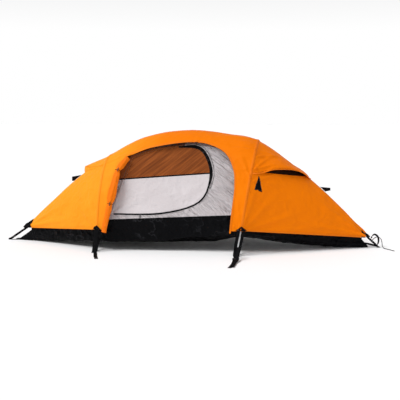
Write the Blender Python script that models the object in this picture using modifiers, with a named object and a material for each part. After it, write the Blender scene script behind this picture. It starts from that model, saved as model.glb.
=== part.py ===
"""A low one-person tent: boat-shaped tub floor, inner tent with a D-shaped door, fly sheet on two
hoops and a ridge pole, scoop vents at both ends, straps and stake loops. Metres, +Z up.
+X runs to the head end, -Y is the door side, and z = 0 is the ground."""
import math

import bmesh
import bpy
from mathutils import Matrix, Vector

# Clearances and fabric
GAP = 0.0003
FABRIC = 0.0012
HOOP_SEAM_SHARE = 0.0006
SEAM_LEAN = 0.25
WALL_SEAM = GAP + FABRIC * 0.5
ROOF_SEAM = GAP + FABRIC * 1.1
END_SEAM = GAP + FABRIC * 0.65
SEAM_HALF = GAP / 2 + FABRIC * SEAM_LEAN

# Plan of the tent along X
FOOT_TIP_X = -1.245
HEAD_TIP_X = 1.25
FOOT_HOOP_X = -0.625
FOOT_HOOP_TOP_X = -0.605
HEAD_HOOP_X = 0.385
HEAD_HOOP_TOP_X = 0.480

# Fly sheet: half widths and heights of the hem, heights of the ridge
FLY_FOOT_HALF = 0.375
FLY_MID_HALF = 0.400
FLY_HEAD_HALF = 0.420
FLY_TIP_HALF = 0.042
HEM_FOOT_TIP_Z = 0.100
HEM_FOOT_Z = 0.150
HEM_MID_Z = 0.146
HEM_HEAD_Z = 0.168
HEM_HEAD_TIP_Z = 0.076
RIDGE_FOOT_TIP_Z = 0.126
RIDGE_FOOT_MID_Z = 0.452
RIDGE_FOOT_HOOP_Z = 0.652
RIDGE_PEAK_Z = 0.835
RIDGE_HEAD_HOOP_Z = 0.762
RIDGE_HEAD_MID_Z = 0.500
RIDGE_HEAD_LOW_Z = 0.262
RIDGE_HEAD_TIP_Z = 0.100
FLY_ROUNDNESS = 2.1
TIP_ROUNDNESS = 1.8

# Tub floor: heights of its upper edge, how far its long edge is lifted, and its belly
TUB_TIP_SETBACK = 0.025
TUB_TIP_HALF = 0.026
TUB_TOP_FOOT_TIP_Z = 0.094
TUB_TOP_FOOT_Z = 0.217
TUB_TOP_HEAD_Z = 0.262
TUB_TOP_HEAD_TIP_Z = 0.070
TUB_LIFT_FOOT_Z = 0.060
TUB_LIFT_MID_Z = 0.058
TUB_LIFT_HEAD_Z = 0.112
TUB_LIFT_TIP_Z = 0.008
TUB_EDGE_INSET = 0.014
BELLY_REST = (-0.25, 0.09)
BELLY_HEAD_Z = 0.026
BELLY_SHARE = 0.34

# Inner tent: its long walls lie in one slanted plane on each side
WALL_HALF_AT_REF = 0.335
WALL_REF_Z = 0.240
WALL_SLOPE = 0.33
INNER_FOOT_X = -0.560
INNER_HEAD_X = 0.345
INNER_DROP = 0.046
INNER_TIP_DROP = 0.016
ROOF_RISE = 0.058
END_SHOULDER_SHARE = 0.60

# Inner door, as (x, z) seen square on, in the plane of the near wall
DOOR_HINGE_LOW = (-0.520, 0.262)
DOOR_HINGE_HIGH = (-0.398, 0.640)
DOOR_BOTTOM_MID = (-0.175, 0.272)
DOOR_CORNER_LOW = (0.085, 0.352)
DOOR_RIGHT = (0.153, 0.530)
DOOR_CORNER_HIGH = (0.096, 0.684)
DOOR_TOP = (-0.020, 0.716)
DOOR_TOP_LEFT = (-0.230, 0.697)
DOOR_GAP = 0.0007
ZIP_TAPE_WIDTH = 0.010
ZIP_TAPE_THICK = 0.0012
DOOR_BAND_LOW = 0.492
DOOR_BAND_RISE = 0.075
DOOR_BAND_WIDTH = 0.009

# Fly doorway, as (x, z)
FLY_DOOR_RIGHT_LOW = (0.302, 0.100)
FLY_DOOR_RIGHT_1 = (0.320, 0.290)
FLY_DOOR_RIGHT_2 = (0.336, 0.460)
FLY_DOOR_RIGHT_3 = (0.318, 0.590)
FLY_DOOR_RIGHT_4 = (0.240, 0.694)
FLY_DOOR_TOP = (0.050, 0.746)
FLY_DOOR_TOP_LEFT = (-0.250, 0.712)
FLY_DOOR_LEFT_HIGH = (-0.432, 0.650)
FLY_DOOR_LEFT_MID = (-0.512, 0.450)
FLY_DOOR_LEFT_LOW = (-0.592, 0.100)

# Vents at the ends: the height of the cut at the ridge, its rise towards the hoop, the hood's lift
HEAD_CUT_X = 0.842
HEAD_CUT_Z = 0.500
HEAD_CUT_RISE = 0.150
HEAD_HOOD_LIFT = 0.030
HEAD_HOOD_HALF = 0.33
FOOT_CUT_X = -0.785
FOOT_CUT_Z = 0.532
FOOT_CUT_RISE = 0.36
FOOT_HOOD_LIFT = 0.042
FOOT_HOOD_HALF = 0.17
HOOD_SLOT = 0.012
HOOD_CURVE = 1.3
HOOD_END_SHARE = 0.2
HOOD_LEAN = 0.4
VENT_MESH_INSET = FABRIC + 3 * GAP
VENT_MESH_DOWN = 0.030
VENT_MESH_UP = 0.036

# Poles: fibreglass tubes, metal sleeves and points, elastic cord inside
POLE_RADIUS = 0.00475
POLE_BORE = 0.0024
SIDE_SPREAD = 1.083
POLE_FIT = POLE_RADIUS * SIDE_SPREAD + GAP
FERRULE_RADIUS = 0.0068
FERRULE_LENGTH = 0.060
SHOCK_CORD_RADIUS = 0.0017
POLE_SAG_ROOM = 0.0036
POLE_INSET = FABRIC + GAP + POLE_SAG_ROOM + FERRULE_RADIUS
HOOP_FOOT_Y = {"foot": 0.412, "head": 0.452}
TIP_COLLAR = 0.012
TIP_PIN = 0.022
TIP_PIN_RADIUS = 0.0030
HOOP_JOINT_SHARE = 0.40
RIDGE_JOINT_SHARE = 0.52
SOCKET_DEPTH_START = 0.014
SOCKET_GRIP = 0.018
SOCKET_RADIUS = 0.0074
CLIP_SHARES = (0.28, 0.74)
CLIP_LENGTH = 0.012
CLIP_RADIUS = 0.0075
CLIP_STEM = 0.008

# Webbing straps at the hoops' feet, and the ladder-locks on the head ones
WEBBING_WIDTH = 0.025
WEBBING_THICK = 0.0018
STRAP_OFF_TUB = 0.0032
STRAP_RISE = 0.022
STRAP_PAST_TIP = 0.024
STRAP_END_Y = {"foot": 0.650, "head": 0.830}
LOCK_Y = 0.560
LOCK_LIFT = 0.0034
LOCK_FLAT = 0.045
LOCK_WIDTH = 0.036
LOCK_LENGTH = 0.030
LOCK_WALL = 0.0020
LOCK_CLEAR = 0.0007

# End straps: from the fly's corner and the tub's tip to one stake point
TIP_WEBBING_WIDTH = 0.015
TIP_WEBBING_THICK = 0.0016
TIP_REACH = {"foot": 0.165, "head": 0.105}
TIP_BUCKLE_SHARE = {"foot": 0.76, "head": 0.42}
TIP_BUCKLE_LENGTH = 0.020

# Rolled fly door with its loops and toggles, and the zips
ROLL_RADIUS = 0.0165
LOOP_RADIUS = 0.0012
ROLL_STANDOFF = 2 * LOOP_RADIUS + GAP
ROLL_PROUD = 0.004
ROLL_LOW_Z = 0.130
ROLL_HIGH_Z = 0.645
TIE_HEIGHTS = (0.560, 0.330)
TOGGLE_RADIUS = 0.0030
TOGGLE_LENGTH = 0.030
FLY_ZIP_LOW_Z = 0.170
FLY_ZIP_EDGE = 0.0005
FLY_ZIP_WIDTH = 0.011
FLY_ZIP_INSET = 0.0036
FLY_SLIDER_UP = 0.030
SLIDER_WIDTH = 0.009
SLIDER_THICK = 0.0045
SLIDER_LENGTH = 0.013
INNER_SLIDER_POINT = 3
PULL_WIDTH = 0.006
PULL_LENGTH = 0.026
PULL_THICK = 0.0016

# Guy points: flat patches on the head panels, tabs standing off the end ridges
PATCH_SHARE = 0.060
PATCH_HALF_SHARE = 0.040
PATCH_ANGLE_LOW = 0.44
PATCH_ANGLE_HIGH = 0.60
PATCH_OUT = 0.0018
HEAD_GUY_X = 0.925
FOOT_GUY_X = -0.835
GUY_TAB_ROOT = 0.036
GUY_TAB_REACH = 0.036
GUY_TAB_RISE = 0.010
GUY_TAB_OFF = {"foot": 0.0001, "head": 0.0008}
GUY_TAB_WIDTH = 0.018

# Loose cord at the head end
CORD_RADIUS = 0.0016
CORD_POINTS = [
    (1.2998, 0.0000, 0.0508), (1.3090, -0.0010, 0.0612), (1.3220, -0.0035, 0.0725),
    (1.3380, -0.0070, 0.0770), (1.3530, -0.0110, 0.0720), (1.3640, -0.0160, 0.0570),
    (1.3680, -0.0220, 0.0360), (1.3705, -0.0290, 0.0160), (1.3770, -0.0390, 0.0048),
    (1.3880, -0.0540, 0.0018), (1.4020, -0.0740, 0.0017), (1.4170, -0.0980, 0.0017),
    (1.4300, -0.1200, 0.0017), (1.4400, -0.1360, 0.0017)]

# Mesh fineness of the lofts
SIDE_STEPS = 10
MID_ROWS = 12
FOOT_ROWS = 6
HEAD_ROWS = 8

COLOURS = {
    "fly_orange": (0.90, 0.30, 0.02, 0.62, 0.0),
    "tub_black": (0.012, 0.012, 0.015, 0.60, 0.0),
    "inner_grey": (0.62, 0.58, 0.58, 0.80, 0.0),
    "mesh_brown": (0.10, 0.04, 0.02, 0.85, 0.0),
    "webbing_black": (0.015, 0.015, 0.015, 0.75, 0.0),
    "plastic_black": (0.02, 0.02, 0.02, 0.40, 0.0),
    "pole_grey": (0.10, 0.11, 0.12, 0.35, 0.0),
    "aluminium": (0.80, 0.80, 0.82, 0.30, 1.0),
    "elastic_white": (0.75, 0.75, 0.72, 0.80, 0.0),
}


def clear_scene():
    for thing in list(bpy.data.objects):
        bpy.data.objects.remove(thing, do_unlink=True)


def new_collection(name):
    group = bpy.data.collections.new(name)
    bpy.context.scene.collection.children.link(group)
    return group


def material(name):
    found = bpy.data.materials.get(name)
    if found:
        return found
    red, green, blue, rough, metal = COLOURS[name]
    made = bpy.data.materials.new(name)
    made.use_nodes = True
    made.diffuse_color = (red, green, blue, 1.0)
    shader = made.node_tree.nodes["Principled BSDF"]
    shader.inputs["Base Color"].default_value = (red, green, blue, 1.0)
    shader.inputs["Roughness"].default_value = rough
    shader.inputs["Metallic"].default_value = metal
    return made


def add_object(name, data, colour, smooth=True):
    thing = bpy.data.objects.new(name, data)
    PARTS.objects.link(thing)
    data.materials.append(material(colour))
    if smooth and isinstance(data, bpy.types.Mesh):
        data.shade_smooth()
        data.set_sharp_from_angle(angle=math.radians(35))
    return thing


def mix(low, high, share):
    return low + (high - low) * share


def curve_through(stations, x):
    """Smooth value at x from (x, value) stations in rising x, with Hermite spans."""
    if x <= stations[0][0]:
        return stations[0][1]
    if x >= stations[-1][0]:
        return stations[-1][1]
    index = max(i for i in range(len(stations) - 1) if stations[i][0] <= x)
    slopes = []
    for i in range(len(stations)):
        left = stations[max(i - 1, 0)]
        right = stations[min(i + 1, len(stations) - 1)]
        slopes.append((right[1] - left[1]) / (right[0] - left[0]))
    (x0, v0), (x1, v1) = stations[index], stations[index + 1]
    span = x1 - x0
    t = (x - x0) / span
    start = (2 * t**3 - 3 * t**2 + 1) * v0 + (t**3 - 2 * t**2 + t) * span * slopes[index]
    end = (3 * t**2 - 2 * t**3) * v1 + (t**3 - t**2) * span * slopes[index + 1]
    return start + end


def spline_points(points, per_span, closed=False):
    """Catmull-Rom points through the given ones."""
    made = []
    count = len(points)
    spans = count if closed else count - 1
    for i in range(spans):
        if closed:
            four = [points[(i + k - 1) % count] for k in range(4)]
        else:
            four = [points[min(max(i + k - 1, 0), count - 1)] for k in range(4)]
        a, b, c, d = [Vector(p) for p in four]
        for step in range(per_span):
            t = step / per_span
            made.append(0.5 * (2 * b + (c - a) * t + (2 * a - 5 * b + 4 * c - d) * t * t
                               + (3 * b - a - 3 * c + d) * t**3))
    if not closed:
        made.append(Vector(points[-1]))
    return made


def grid_mesh(name, rows):
    """An open surface through rows of points of equal length."""
    mesh = bpy.data.meshes.new(name)
    work = bmesh.new()
    verts = [[work.verts.new(p) for p in row] for row in rows]
    for low, high in zip(verts, verts[1:]):
        for i in range(len(low) - 1):
            work.faces.new((low[i], high[i], high[i + 1], low[i + 1]))
    work.to_mesh(mesh)
    work.free()
    return mesh


def cut_mesh(mesh, point, normal):
    """Keeps the side of the plane that the normal points away from."""
    work = bmesh.new()
    work.from_mesh(mesh)
    everything = work.verts[:] + work.edges[:] + work.faces[:]
    bmesh.ops.bisect_plane(work, geom=everything, dist=0.00001, plane_co=point,
                           plane_no=normal, clear_outer=True)
    bmesh.ops.triangulate(work, faces=work.faces[:])
    work.to_mesh(mesh)
    work.free()


def face_outward(mesh):
    """Turns an open shell's faces to point away from the tent's long axis."""
    work = bmesh.new()
    work.from_mesh(mesh)
    bmesh.ops.recalc_face_normals(work, faces=work.faces[:])
    middle = Vector((0.0, 0.0, HEM_MID_Z))
    score = 0.0
    for face in work.faces:
        out = face.calc_center_median() - middle
        out.x = 0.0
        score += face.normal.dot(out) * face.calc_area()
    if score < 0:
        bmesh.ops.reverse_faces(work, faces=work.faces[:])
    work.to_mesh(mesh)
    work.free()


def sheet_object(name, mesh, colour, thickness=FABRIC):
    """A fabric sheet: the open surface is its outer face, and the cloth lies inside it."""
    face_outward(mesh)
    thing = add_object(name, mesh, colour)
    shell = thing.modifiers.new("cloth", "SOLIDIFY")
    shell.thickness = thickness
    shell.offset = -1.0
    return thing


def apply_modifiers(thing):
    """Replaces the object's mesh by its evaluated one."""
    graph = bpy.context.evaluated_depsgraph_get()
    made = bpy.data.meshes.new_from_object(thing.evaluated_get(graph))
    thing.modifiers.clear()
    thing.data = made


def cut_with(thing, cutter):
    """A cut that stays as a modifier."""
    cutter.display_type = "WIRE"
    cutter.hide_render = True
    change = thing.modifiers.new("cut", "BOOLEAN")
    change.object = cutter
    change.operation = "DIFFERENCE"
    change.solver = "EXACT"


def outline_prism(name, outline, low_y, high_y):
    """A closed (x, z) outline as a prism along Y, for cutting."""
    mesh = bpy.data.meshes.new(name)
    work = bmesh.new()
    face = work.faces.new([work.verts.new((p[0], low_y, p[1])) for p in outline])
    grown = bmesh.ops.extrude_face_region(work, geom=[face])
    for item in grown["geom"]:
        if isinstance(item, bmesh.types.BMVert):
            item.co.y = high_y
    bmesh.ops.recalc_face_normals(work, faces=work.faces[:])
    work.to_mesh(mesh)
    work.free()
    thing = bpy.data.objects.new(name, mesh)
    CUTTERS.objects.link(thing)
    return thing


# Fly sheet surface

def ridge_z(x):
    return curve_through([
        (FOOT_TIP_X, RIDGE_FOOT_TIP_Z),
        (mix(FOOT_TIP_X, FOOT_HOOP_TOP_X, 0.55), RIDGE_FOOT_MID_Z),
        (FOOT_HOOP_TOP_X, RIDGE_FOOT_HOOP_Z),
        (mix(FOOT_HOOP_TOP_X, HEAD_HOOP_TOP_X, 0.24), mix(RIDGE_FOOT_HOOP_Z, RIDGE_PEAK_Z, 0.72)),
        (mix(FOOT_HOOP_TOP_X, HEAD_HOOP_TOP_X, 0.54), RIDGE_PEAK_Z),
        (mix(FOOT_HOOP_TOP_X, HEAD_HOOP_TOP_X, 0.80), mix(RIDGE_HEAD_HOOP_Z, RIDGE_PEAK_Z, 0.64)),
        (HEAD_HOOP_TOP_X, RIDGE_HEAD_HOOP_Z),
        (mix(HEAD_HOOP_TOP_X, HEAD_TIP_X, 0.47), RIDGE_HEAD_MID_Z),
        (mix(HEAD_HOOP_TOP_X, HEAD_TIP_X, 0.81), RIDGE_HEAD_LOW_Z),
        (HEAD_TIP_X, RIDGE_HEAD_TIP_Z)], x)


def fly_station(part, share):
    """Base x, ridge x, half width, hem z and roundness of one section of the fly."""
    if part == "foot":
        base = mix(FOOT_HOOP_X, FOOT_TIP_X, share)
        top = mix(FOOT_HOOP_TOP_X, FOOT_TIP_X, share)
        half = mix(FLY_FOOT_HALF, FLY_TIP_HALF, share)
        hem = mix(HEM_FOOT_Z, HEM_FOOT_TIP_Z, share)
        return base, top, half, hem, mix(FLY_ROUNDNESS, TIP_ROUNDNESS, share)
    if part == "head":
        base = mix(HEAD_HOOP_X, HEAD_TIP_X, share)
        top = mix(HEAD_HOOP_TOP_X, HEAD_TIP_X, share)
        half = mix(FLY_HEAD_HALF, FLY_TIP_HALF, share)
        hem = mix(HEM_HEAD_Z, HEM_HEAD_TIP_Z, share)
        return base, top, half, hem, mix(FLY_ROUNDNESS, TIP_ROUNDNESS, share)
    base = mix(FOOT_HOOP_X, HEAD_HOOP_X, share)
    top = mix(FOOT_HOOP_TOP_X, HEAD_HOOP_TOP_X, share)
    half = curve_through([(0, FLY_FOOT_HALF), (0.5, FLY_MID_HALF), (1, FLY_HEAD_HALF)], share)
    hem = curve_through([(0, HEM_FOOT_Z), (0.5, HEM_MID_Z), (1, HEM_HEAD_Z)], share)
    return base, top, half, hem, FLY_ROUNDNESS


def fly_point(part, share, angle, inset=0.0):
    """A point of the fly: angle 0 at the near hem, pi / 2 at the ridge, pi at the far hem."""
    base, top, half, hem, power = fly_station(part, share)
    height = ridge_z(top) - hem - inset
    across = math.cos(angle)
    up = math.sin(angle)
    y = -math.copysign(abs(across) ** (2 / power), across) * (half - inset)
    rise = abs(up) ** (2 / power)
    return Vector((mix(base, top, rise), y, hem + height * rise))


def fly_rows(part, row_count, start, end, steps, low_share, high_share, inset=0.0):
    """Rows of points across the fly between two angles and two shares of its length."""
    rows = []
    for row in range(row_count + 1):
        share = mix(low_share, high_share, row / row_count)
        angles = [mix(start, end, i / steps) for i in range(steps + 1)]
        rows.append([fly_point(part, share, angle, inset) for angle in angles])
    return rows


def vent_plane(part, shift):
    """A point on the vent's cutting plane and the plane's upward normal."""
    if part == "head":
        point = Vector((HEAD_CUT_X, 0, HEAD_CUT_Z + shift))
        return point, Vector((HEAD_CUT_RISE, 0, 1)).normalized()
    point = Vector((FOOT_CUT_X, 0, FOOT_CUT_Z + shift))
    return point, Vector((-FOOT_CUT_RISE, 0, 1)).normalized()


def lift_hood(mesh, part):
    """Bows the hood's free edge up and out, with no lift along the hoop."""
    lift = HEAD_HOOD_LIFT if part == "head" else FOOT_HOOD_LIFT
    half = HEAD_HOOD_HALF if part == "head" else FOOT_HOOD_HALF
    outward = 1.0 if part == "head" else -1.0
    cut_x = HEAD_CUT_X if part == "head" else FOOT_CUT_X
    hoop_x = HEAD_HOOP_TOP_X if part == "head" else FOOT_HOOP_TOP_X
    for vert in mesh.vertices:
        out = abs(vert.co.x - hoop_leg_x(part, vert.co.z)) / abs(cut_x - hoop_x)
        middle = max(0.0, 1.0 - (vert.co.y / half) ** 2)
        amount = lift * min(1.0, out) ** HOOD_CURVE * mix(HOOD_END_SHARE, 1.0, middle)
        vert.co.x += outward * amount * HOOD_LEAN
        vert.co.z += amount


def build_fly():
    half = math.pi / 2
    for side, start, end, sign in (("near", 0.0, half, -1.0), ("far", half, math.pi, 1.0)):
        mesh = grid_mesh(f"fly_{side}_panel", fly_rows("mid", MID_ROWS, start, end, SIDE_STEPS,
                                                       HOOP_SEAM_SHARE, 1.0 - HOOP_SEAM_SHARE))
        cut_mesh(mesh, Vector((0, sign * SEAM_HALF, 0)), Vector((0, -sign, 0)))
        panel = sheet_object(f"fly_{side}_panel", mesh, "fly_orange")
        if side == "near":
            cut_with(panel, outline_prism("fly_doorway_cutter", fly_door_outline(), -0.6, -0.05))
    for part, rows in (("foot", FOOT_ROWS), ("head", HEAD_ROWS)):
        mesh = grid_mesh(f"fly_{part}_panel", fly_rows(part, rows, 0.0, math.pi, 2 * SIDE_STEPS,
                                                       HOOP_SEAM_SHARE, 1.0))
        point, normal = vent_plane(part, -HOOD_SLOT / 2)
        cut_mesh(mesh, point, normal)
        sheet_object(f"fly_{part}_panel", mesh, "fly_orange")


def build_vents():
    for part, rows in (("foot", FOOT_ROWS), ("head", HEAD_ROWS)):
        hood = grid_mesh(f"{part}_vent_hood", fly_rows(part, 2 * rows, 0.0, math.pi, 2 * SIDE_STEPS,
                                                       HOOP_SEAM_SHARE, 1.0))
        point, normal = vent_plane(part, HOOD_SLOT / 2)
        cut_mesh(hood, point, -normal)
        lift_hood(hood, part)
        sheet_object(f"{part}_vent_hood", hood, "fly_orange")
        net = grid_mesh(f"{part}_vent_mesh", fly_rows(part, rows, 0.0, math.pi, 2 * SIDE_STEPS,
                                                      HOOP_SEAM_SHARE, 1.0, VENT_MESH_INSET))
        point, normal = vent_plane(part, -VENT_MESH_DOWN)
        cut_mesh(net, point, -normal)
        point, normal = vent_plane(part, VENT_MESH_UP)
        cut_mesh(net, point, normal)
        sheet_object(f"{part}_vent_mesh", net, "mesh_brown")


def fly_door_outline():
    right = spline_points([FLY_DOOR_RIGHT_LOW, FLY_DOOR_RIGHT_1, FLY_DOOR_RIGHT_2,
                           FLY_DOOR_RIGHT_3, FLY_DOOR_RIGHT_4, FLY_DOOR_TOP,
                           FLY_DOOR_TOP_LEFT, FLY_DOOR_LEFT_HIGH], 4)
    left = spline_points([FLY_DOOR_LEFT_HIGH, FLY_DOOR_LEFT_MID, FLY_DOOR_LEFT_LOW], 3)
    return right + left[1:]


# Tub floor and inner tent

def wall_half(z):
    """Half width of the inner tent's slanted wall plane at a height."""
    return WALL_HALF_AT_REF - WALL_SLOPE * (z - WALL_REF_Z)


def tub_top(x):
    """Half width and height of the tub's upper edge at x."""
    foot_end = FOOT_TIP_X + TUB_TIP_SETBACK
    head_end = HEAD_TIP_X - TUB_TIP_SETBACK
    if x < INNER_FOOT_X:
        share = (INNER_FOOT_X - x) / (INNER_FOOT_X - foot_end)
        z = mix(TUB_TOP_FOOT_Z, TUB_TOP_FOOT_TIP_Z, share)
        return mix(wall_half(TUB_TOP_FOOT_Z), TUB_TIP_HALF, share), z
    if x > INNER_HEAD_X:
        share = (x - INNER_HEAD_X) / (head_end - INNER_HEAD_X)
        z = mix(TUB_TOP_HEAD_Z, TUB_TOP_HEAD_TIP_Z, share)
        return mix(wall_half(TUB_TOP_HEAD_Z), TUB_TIP_HALF, share), z
    share = (x - INNER_FOOT_X) / (INNER_HEAD_X - INNER_FOOT_X)
    z = mix(TUB_TOP_FOOT_Z, TUB_TOP_HEAD_Z, share)
    return wall_half(z), z


def tub_section(x):
    """Points across the tub from the near upper edge, over the belly, to the far upper edge."""
    half, top = tub_top(x)
    foot_end = FOOT_TIP_X + TUB_TIP_SETBACK
    head_end = HEAD_TIP_X - TUB_TIP_SETBACK
    middle_x = mix(FOOT_HOOP_X, HEAD_HOOP_X, 0.42)
    lift = curve_through([(foot_end, TUB_LIFT_TIP_Z), (FOOT_HOOP_X, TUB_LIFT_FOOT_Z),
                          (middle_x, TUB_LIFT_MID_Z), (HEAD_HOOP_X, TUB_LIFT_HEAD_Z),
                          (head_end, TUB_LIFT_TIP_Z)], x)
    belly = curve_through([(foot_end, 0.0), (BELLY_REST[0], 0.0), (BELLY_REST[1], 0.0),
                           (HEAD_HOOP_X, BELLY_HEAD_Z),
                           (mix(HEAD_HOOP_X, head_end, 0.6), 0.0), (head_end, 0.0)], x)
    belly = max(belly, 0.0)
    edge = half - TUB_EDGE_INSET * half / WALL_HALF_AT_REF
    side = [(half, top), (mix(edge, half, 0.5), mix(lift, top, 0.5)), (edge, lift),
            (edge * 0.78, mix(belly, lift, 0.42)), (edge * BELLY_SHARE, belly)]
    near = [Vector((x, -y, z)) for y, z in side]
    far = [Vector((x, y, z)) for y, z in reversed(side)]
    return near + far


def stations_between(start, end, count):
    return [mix(start, end, i / count) for i in range(count + 1)]


def build_tub():
    foot_end = FOOT_TIP_X + TUB_TIP_SETBACK
    head_end = HEAD_TIP_X - TUB_TIP_SETBACK
    places = (stations_between(foot_end, INNER_FOOT_X, 4)[:-1]
              + stations_between(INNER_FOOT_X, INNER_HEAD_X, 6)
              + stations_between(INNER_HEAD_X, head_end, 5)[1:])
    mesh = grid_mesh("tub_floor", [tub_section(x) for x in places])
    thing = add_object("tub_floor", mesh, "tub_black")
    shell = thing.modifiers.new("cloth", "SOLIDIFY")
    shell.thickness = FABRIC
    shell.offset = 1.0 if mesh.polygons[len(mesh.polygons) // 2].normal.z > 0 else -1.0
    return thing


def inner_section(x):
    """Half widths and heights of the inner tent at x: wall foot, shoulder, ridge."""
    half, low = tub_top(x)
    foot_end = FOOT_TIP_X + TUB_TIP_SETBACK
    head_end = HEAD_TIP_X - TUB_TIP_SETBACK
    if INNER_FOOT_X <= x <= INNER_HEAD_X:
        ridge = ridge_z(x) - INNER_DROP
        shoulder = ridge - ROOF_RISE
        return half, low, wall_half(shoulder), shoulder, ridge
    if x < INNER_FOOT_X:
        share = (INNER_FOOT_X - x) / (INNER_FOOT_X - foot_end)
        start_x = INNER_FOOT_X
    else:
        share = (x - INNER_HEAD_X) / (head_end - INNER_HEAD_X)
        start_x = INNER_HEAD_X
    ridge = ridge_z(x) - mix(INNER_DROP, INNER_TIP_DROP, share)
    start_half, start_low = tub_top(start_x)
    start_ridge = ridge_z(start_x) - INNER_DROP
    start_shoulder = start_ridge - ROOF_RISE
    start_ratio = wall_half(start_shoulder) / start_half
    rise = (start_shoulder - start_low) / (start_ridge - start_low)
    shoulder_half = half * mix(start_ratio, END_SHOULDER_SHARE, share)
    return half, low, shoulder_half, mix(low, ridge, rise), ridge


def roof_points(x, shoulder_half, shoulder, ridge, steps):
    """The rounded roof from the near shoulder to the far one."""
    made = []
    for i in range(2 * steps + 1):
        u = -1.0 + i / steps
        z = shoulder + (ridge - shoulder) * (1.0 - abs(u) ** 1.8)
        made.append(Vector((x, u * shoulder_half, z)))
    return made


def build_inner_ends():
    foot_end = FOOT_TIP_X + TUB_TIP_SETBACK
    head_end = HEAD_TIP_X - TUB_TIP_SETBACK
    for name, start, end in (("inner_foot_end", INNER_FOOT_X - END_SEAM, foot_end),
                             ("inner_head_end", INNER_HEAD_X + END_SEAM, head_end)):
        rows = []
        for x in stations_between(start, end, 6):
            half, low, shoulder_half, shoulder, ridge = inner_section(x)
            roof = roof_points(x, shoulder_half, shoulder, ridge, 3)
            near = [Vector((x, -half, low + WALL_SEAM)),
                    Vector((x, -mix(half, shoulder_half, 0.5), mix(low, shoulder, 0.5)))]
            far = [Vector((x, -p.y, p.z)) for p in reversed(near)]
            rows.append(near + roof + far)
        mesh = grid_mesh(name, rows)
        sheet_object(name, mesh, "inner_grey")


def plane_point(x, z, side=-1.0, out=0.0):
    """A point on the slanted wall plane, moved out square to it."""
    normal = Vector((0, side, WALL_SLOPE)).normalized()
    return Vector((x, side * wall_half(z), z)) + normal * out


def plane_sheet(name, outline, colour, side, out, thickness, holes=()):
    """A flat sheet on the slanted wall plane, from (x, z) outlines."""
    flat = bpy.data.curves.new(name, "CURVE")
    flat.dimensions = "2D"
    flat.fill_mode = "BOTH"
    flat.extrude = thickness / 2
    stretch = math.hypot(1.0, WALL_SLOPE)
    for ring in (outline, *holes):
        spline = flat.splines.new("POLY")
        spline.points.add(len(ring) - 1)
        for point, (x, z) in zip(spline.points, ring):
            point.co = (x, (z - WALL_REF_Z) * stretch, 0.0, 1.0)
        spline.use_cyclic_u = True
    guide = bpy.data.objects.new(name, flat)
    PARTS.objects.link(guide)
    up = Vector((0, -side * WALL_SLOPE, 1)).normalized()
    normal = Vector((1, 0, 0)).cross(up)
    centre = plane_point(0.0, WALL_REF_Z, side, out)
    guide.matrix_world = Matrix((
        (1, up.x, normal.x, centre.x), (0, up.y, normal.y, centre.y),
        (0, up.z, normal.z, centre.z), (0, 0, 0, 1)))
    bpy.context.view_layer.update()
    graph = bpy.context.evaluated_depsgraph_get()
    mesh = bpy.data.meshes.new_from_object(guide.evaluated_get(graph))
    mesh.transform(guide.matrix_world)
    bpy.data.objects.remove(guide)
    bpy.data.curves.remove(flat)
    work = bmesh.new()
    work.from_mesh(mesh)
    bmesh.ops.remove_doubles(work, verts=work.verts[:], dist=0.00001)
    bmesh.ops.recalc_face_normals(work, faces=work.faces[:])
    work.to_mesh(mesh)
    work.free()
    mesh.name = name
    mesh.materials.clear()
    return add_object(name, mesh, colour, smooth=False)


def wall_outline():
    """The long wall of the inner tent, from the tub's edge to the roof's shoulder."""
    places = stations_between(INNER_FOOT_X, INNER_HEAD_X, 12)
    low = [(x, tub_top(x)[1] + WALL_SEAM) for x in places]
    high = [(x, inner_section(x)[3] - ROOF_SEAM) for x in places]
    return low + high[::-1]


def door_outline(grow=0.0):
    """The D of the inner door: straight hinge side, straight foot, round far end."""
    ring = spline_points([DOOR_HINGE_LOW, DOOR_BOTTOM_MID, DOOR_CORNER_LOW, DOOR_RIGHT,
                          DOOR_CORNER_HIGH, DOOR_TOP, DOOR_TOP_LEFT, DOOR_HINGE_HIGH], 5)
    if not grow:
        return [tuple(p) for p in ring]
    return offset_ring([tuple(p) for p in ring], grow)


def offset_ring(ring, amount):
    """Moves a counter-clockwise (x, z) ring outward by an amount."""
    made = []
    count = len(ring)
    for i in range(count):
        before = Vector(ring[i - 1])
        here = Vector(ring[i])
        after = Vector(ring[(i + 1) % count])
        first = (here - before).normalized()
        second = (after - here).normalized()
        normal = Vector((first.y + second.y, -first.x - second.x)).normalized()
        scale = 1.0 / max(0.5, normal.dot(Vector((first.y, -first.x))))
        made.append(tuple(here + normal * amount * scale))
    return made


def clip_ring(ring, keep_above):
    """The part of a ring above or below the door's seam line."""
    def height(p):
        line = DOOR_BAND_LOW + DOOR_BAND_RISE * (p[0] - DOOR_HINGE_LOW[0])
        return (p[1] - line) if keep_above[0] else (line - p[1])
    limit = keep_above[1]
    made = []
    for a, b in zip(ring, ring[1:] + ring[:1]):
        ha, hb = height(a) - limit, height(b) - limit
        if ha >= 0:
            made.append(a)
        if (ha > 0) != (hb > 0) and abs(ha - hb) > 1e-9:
            share = ha / (ha - hb)
            made.append((mix(a[0], b[0], share), mix(a[1], b[1], share)))
    return made


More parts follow.
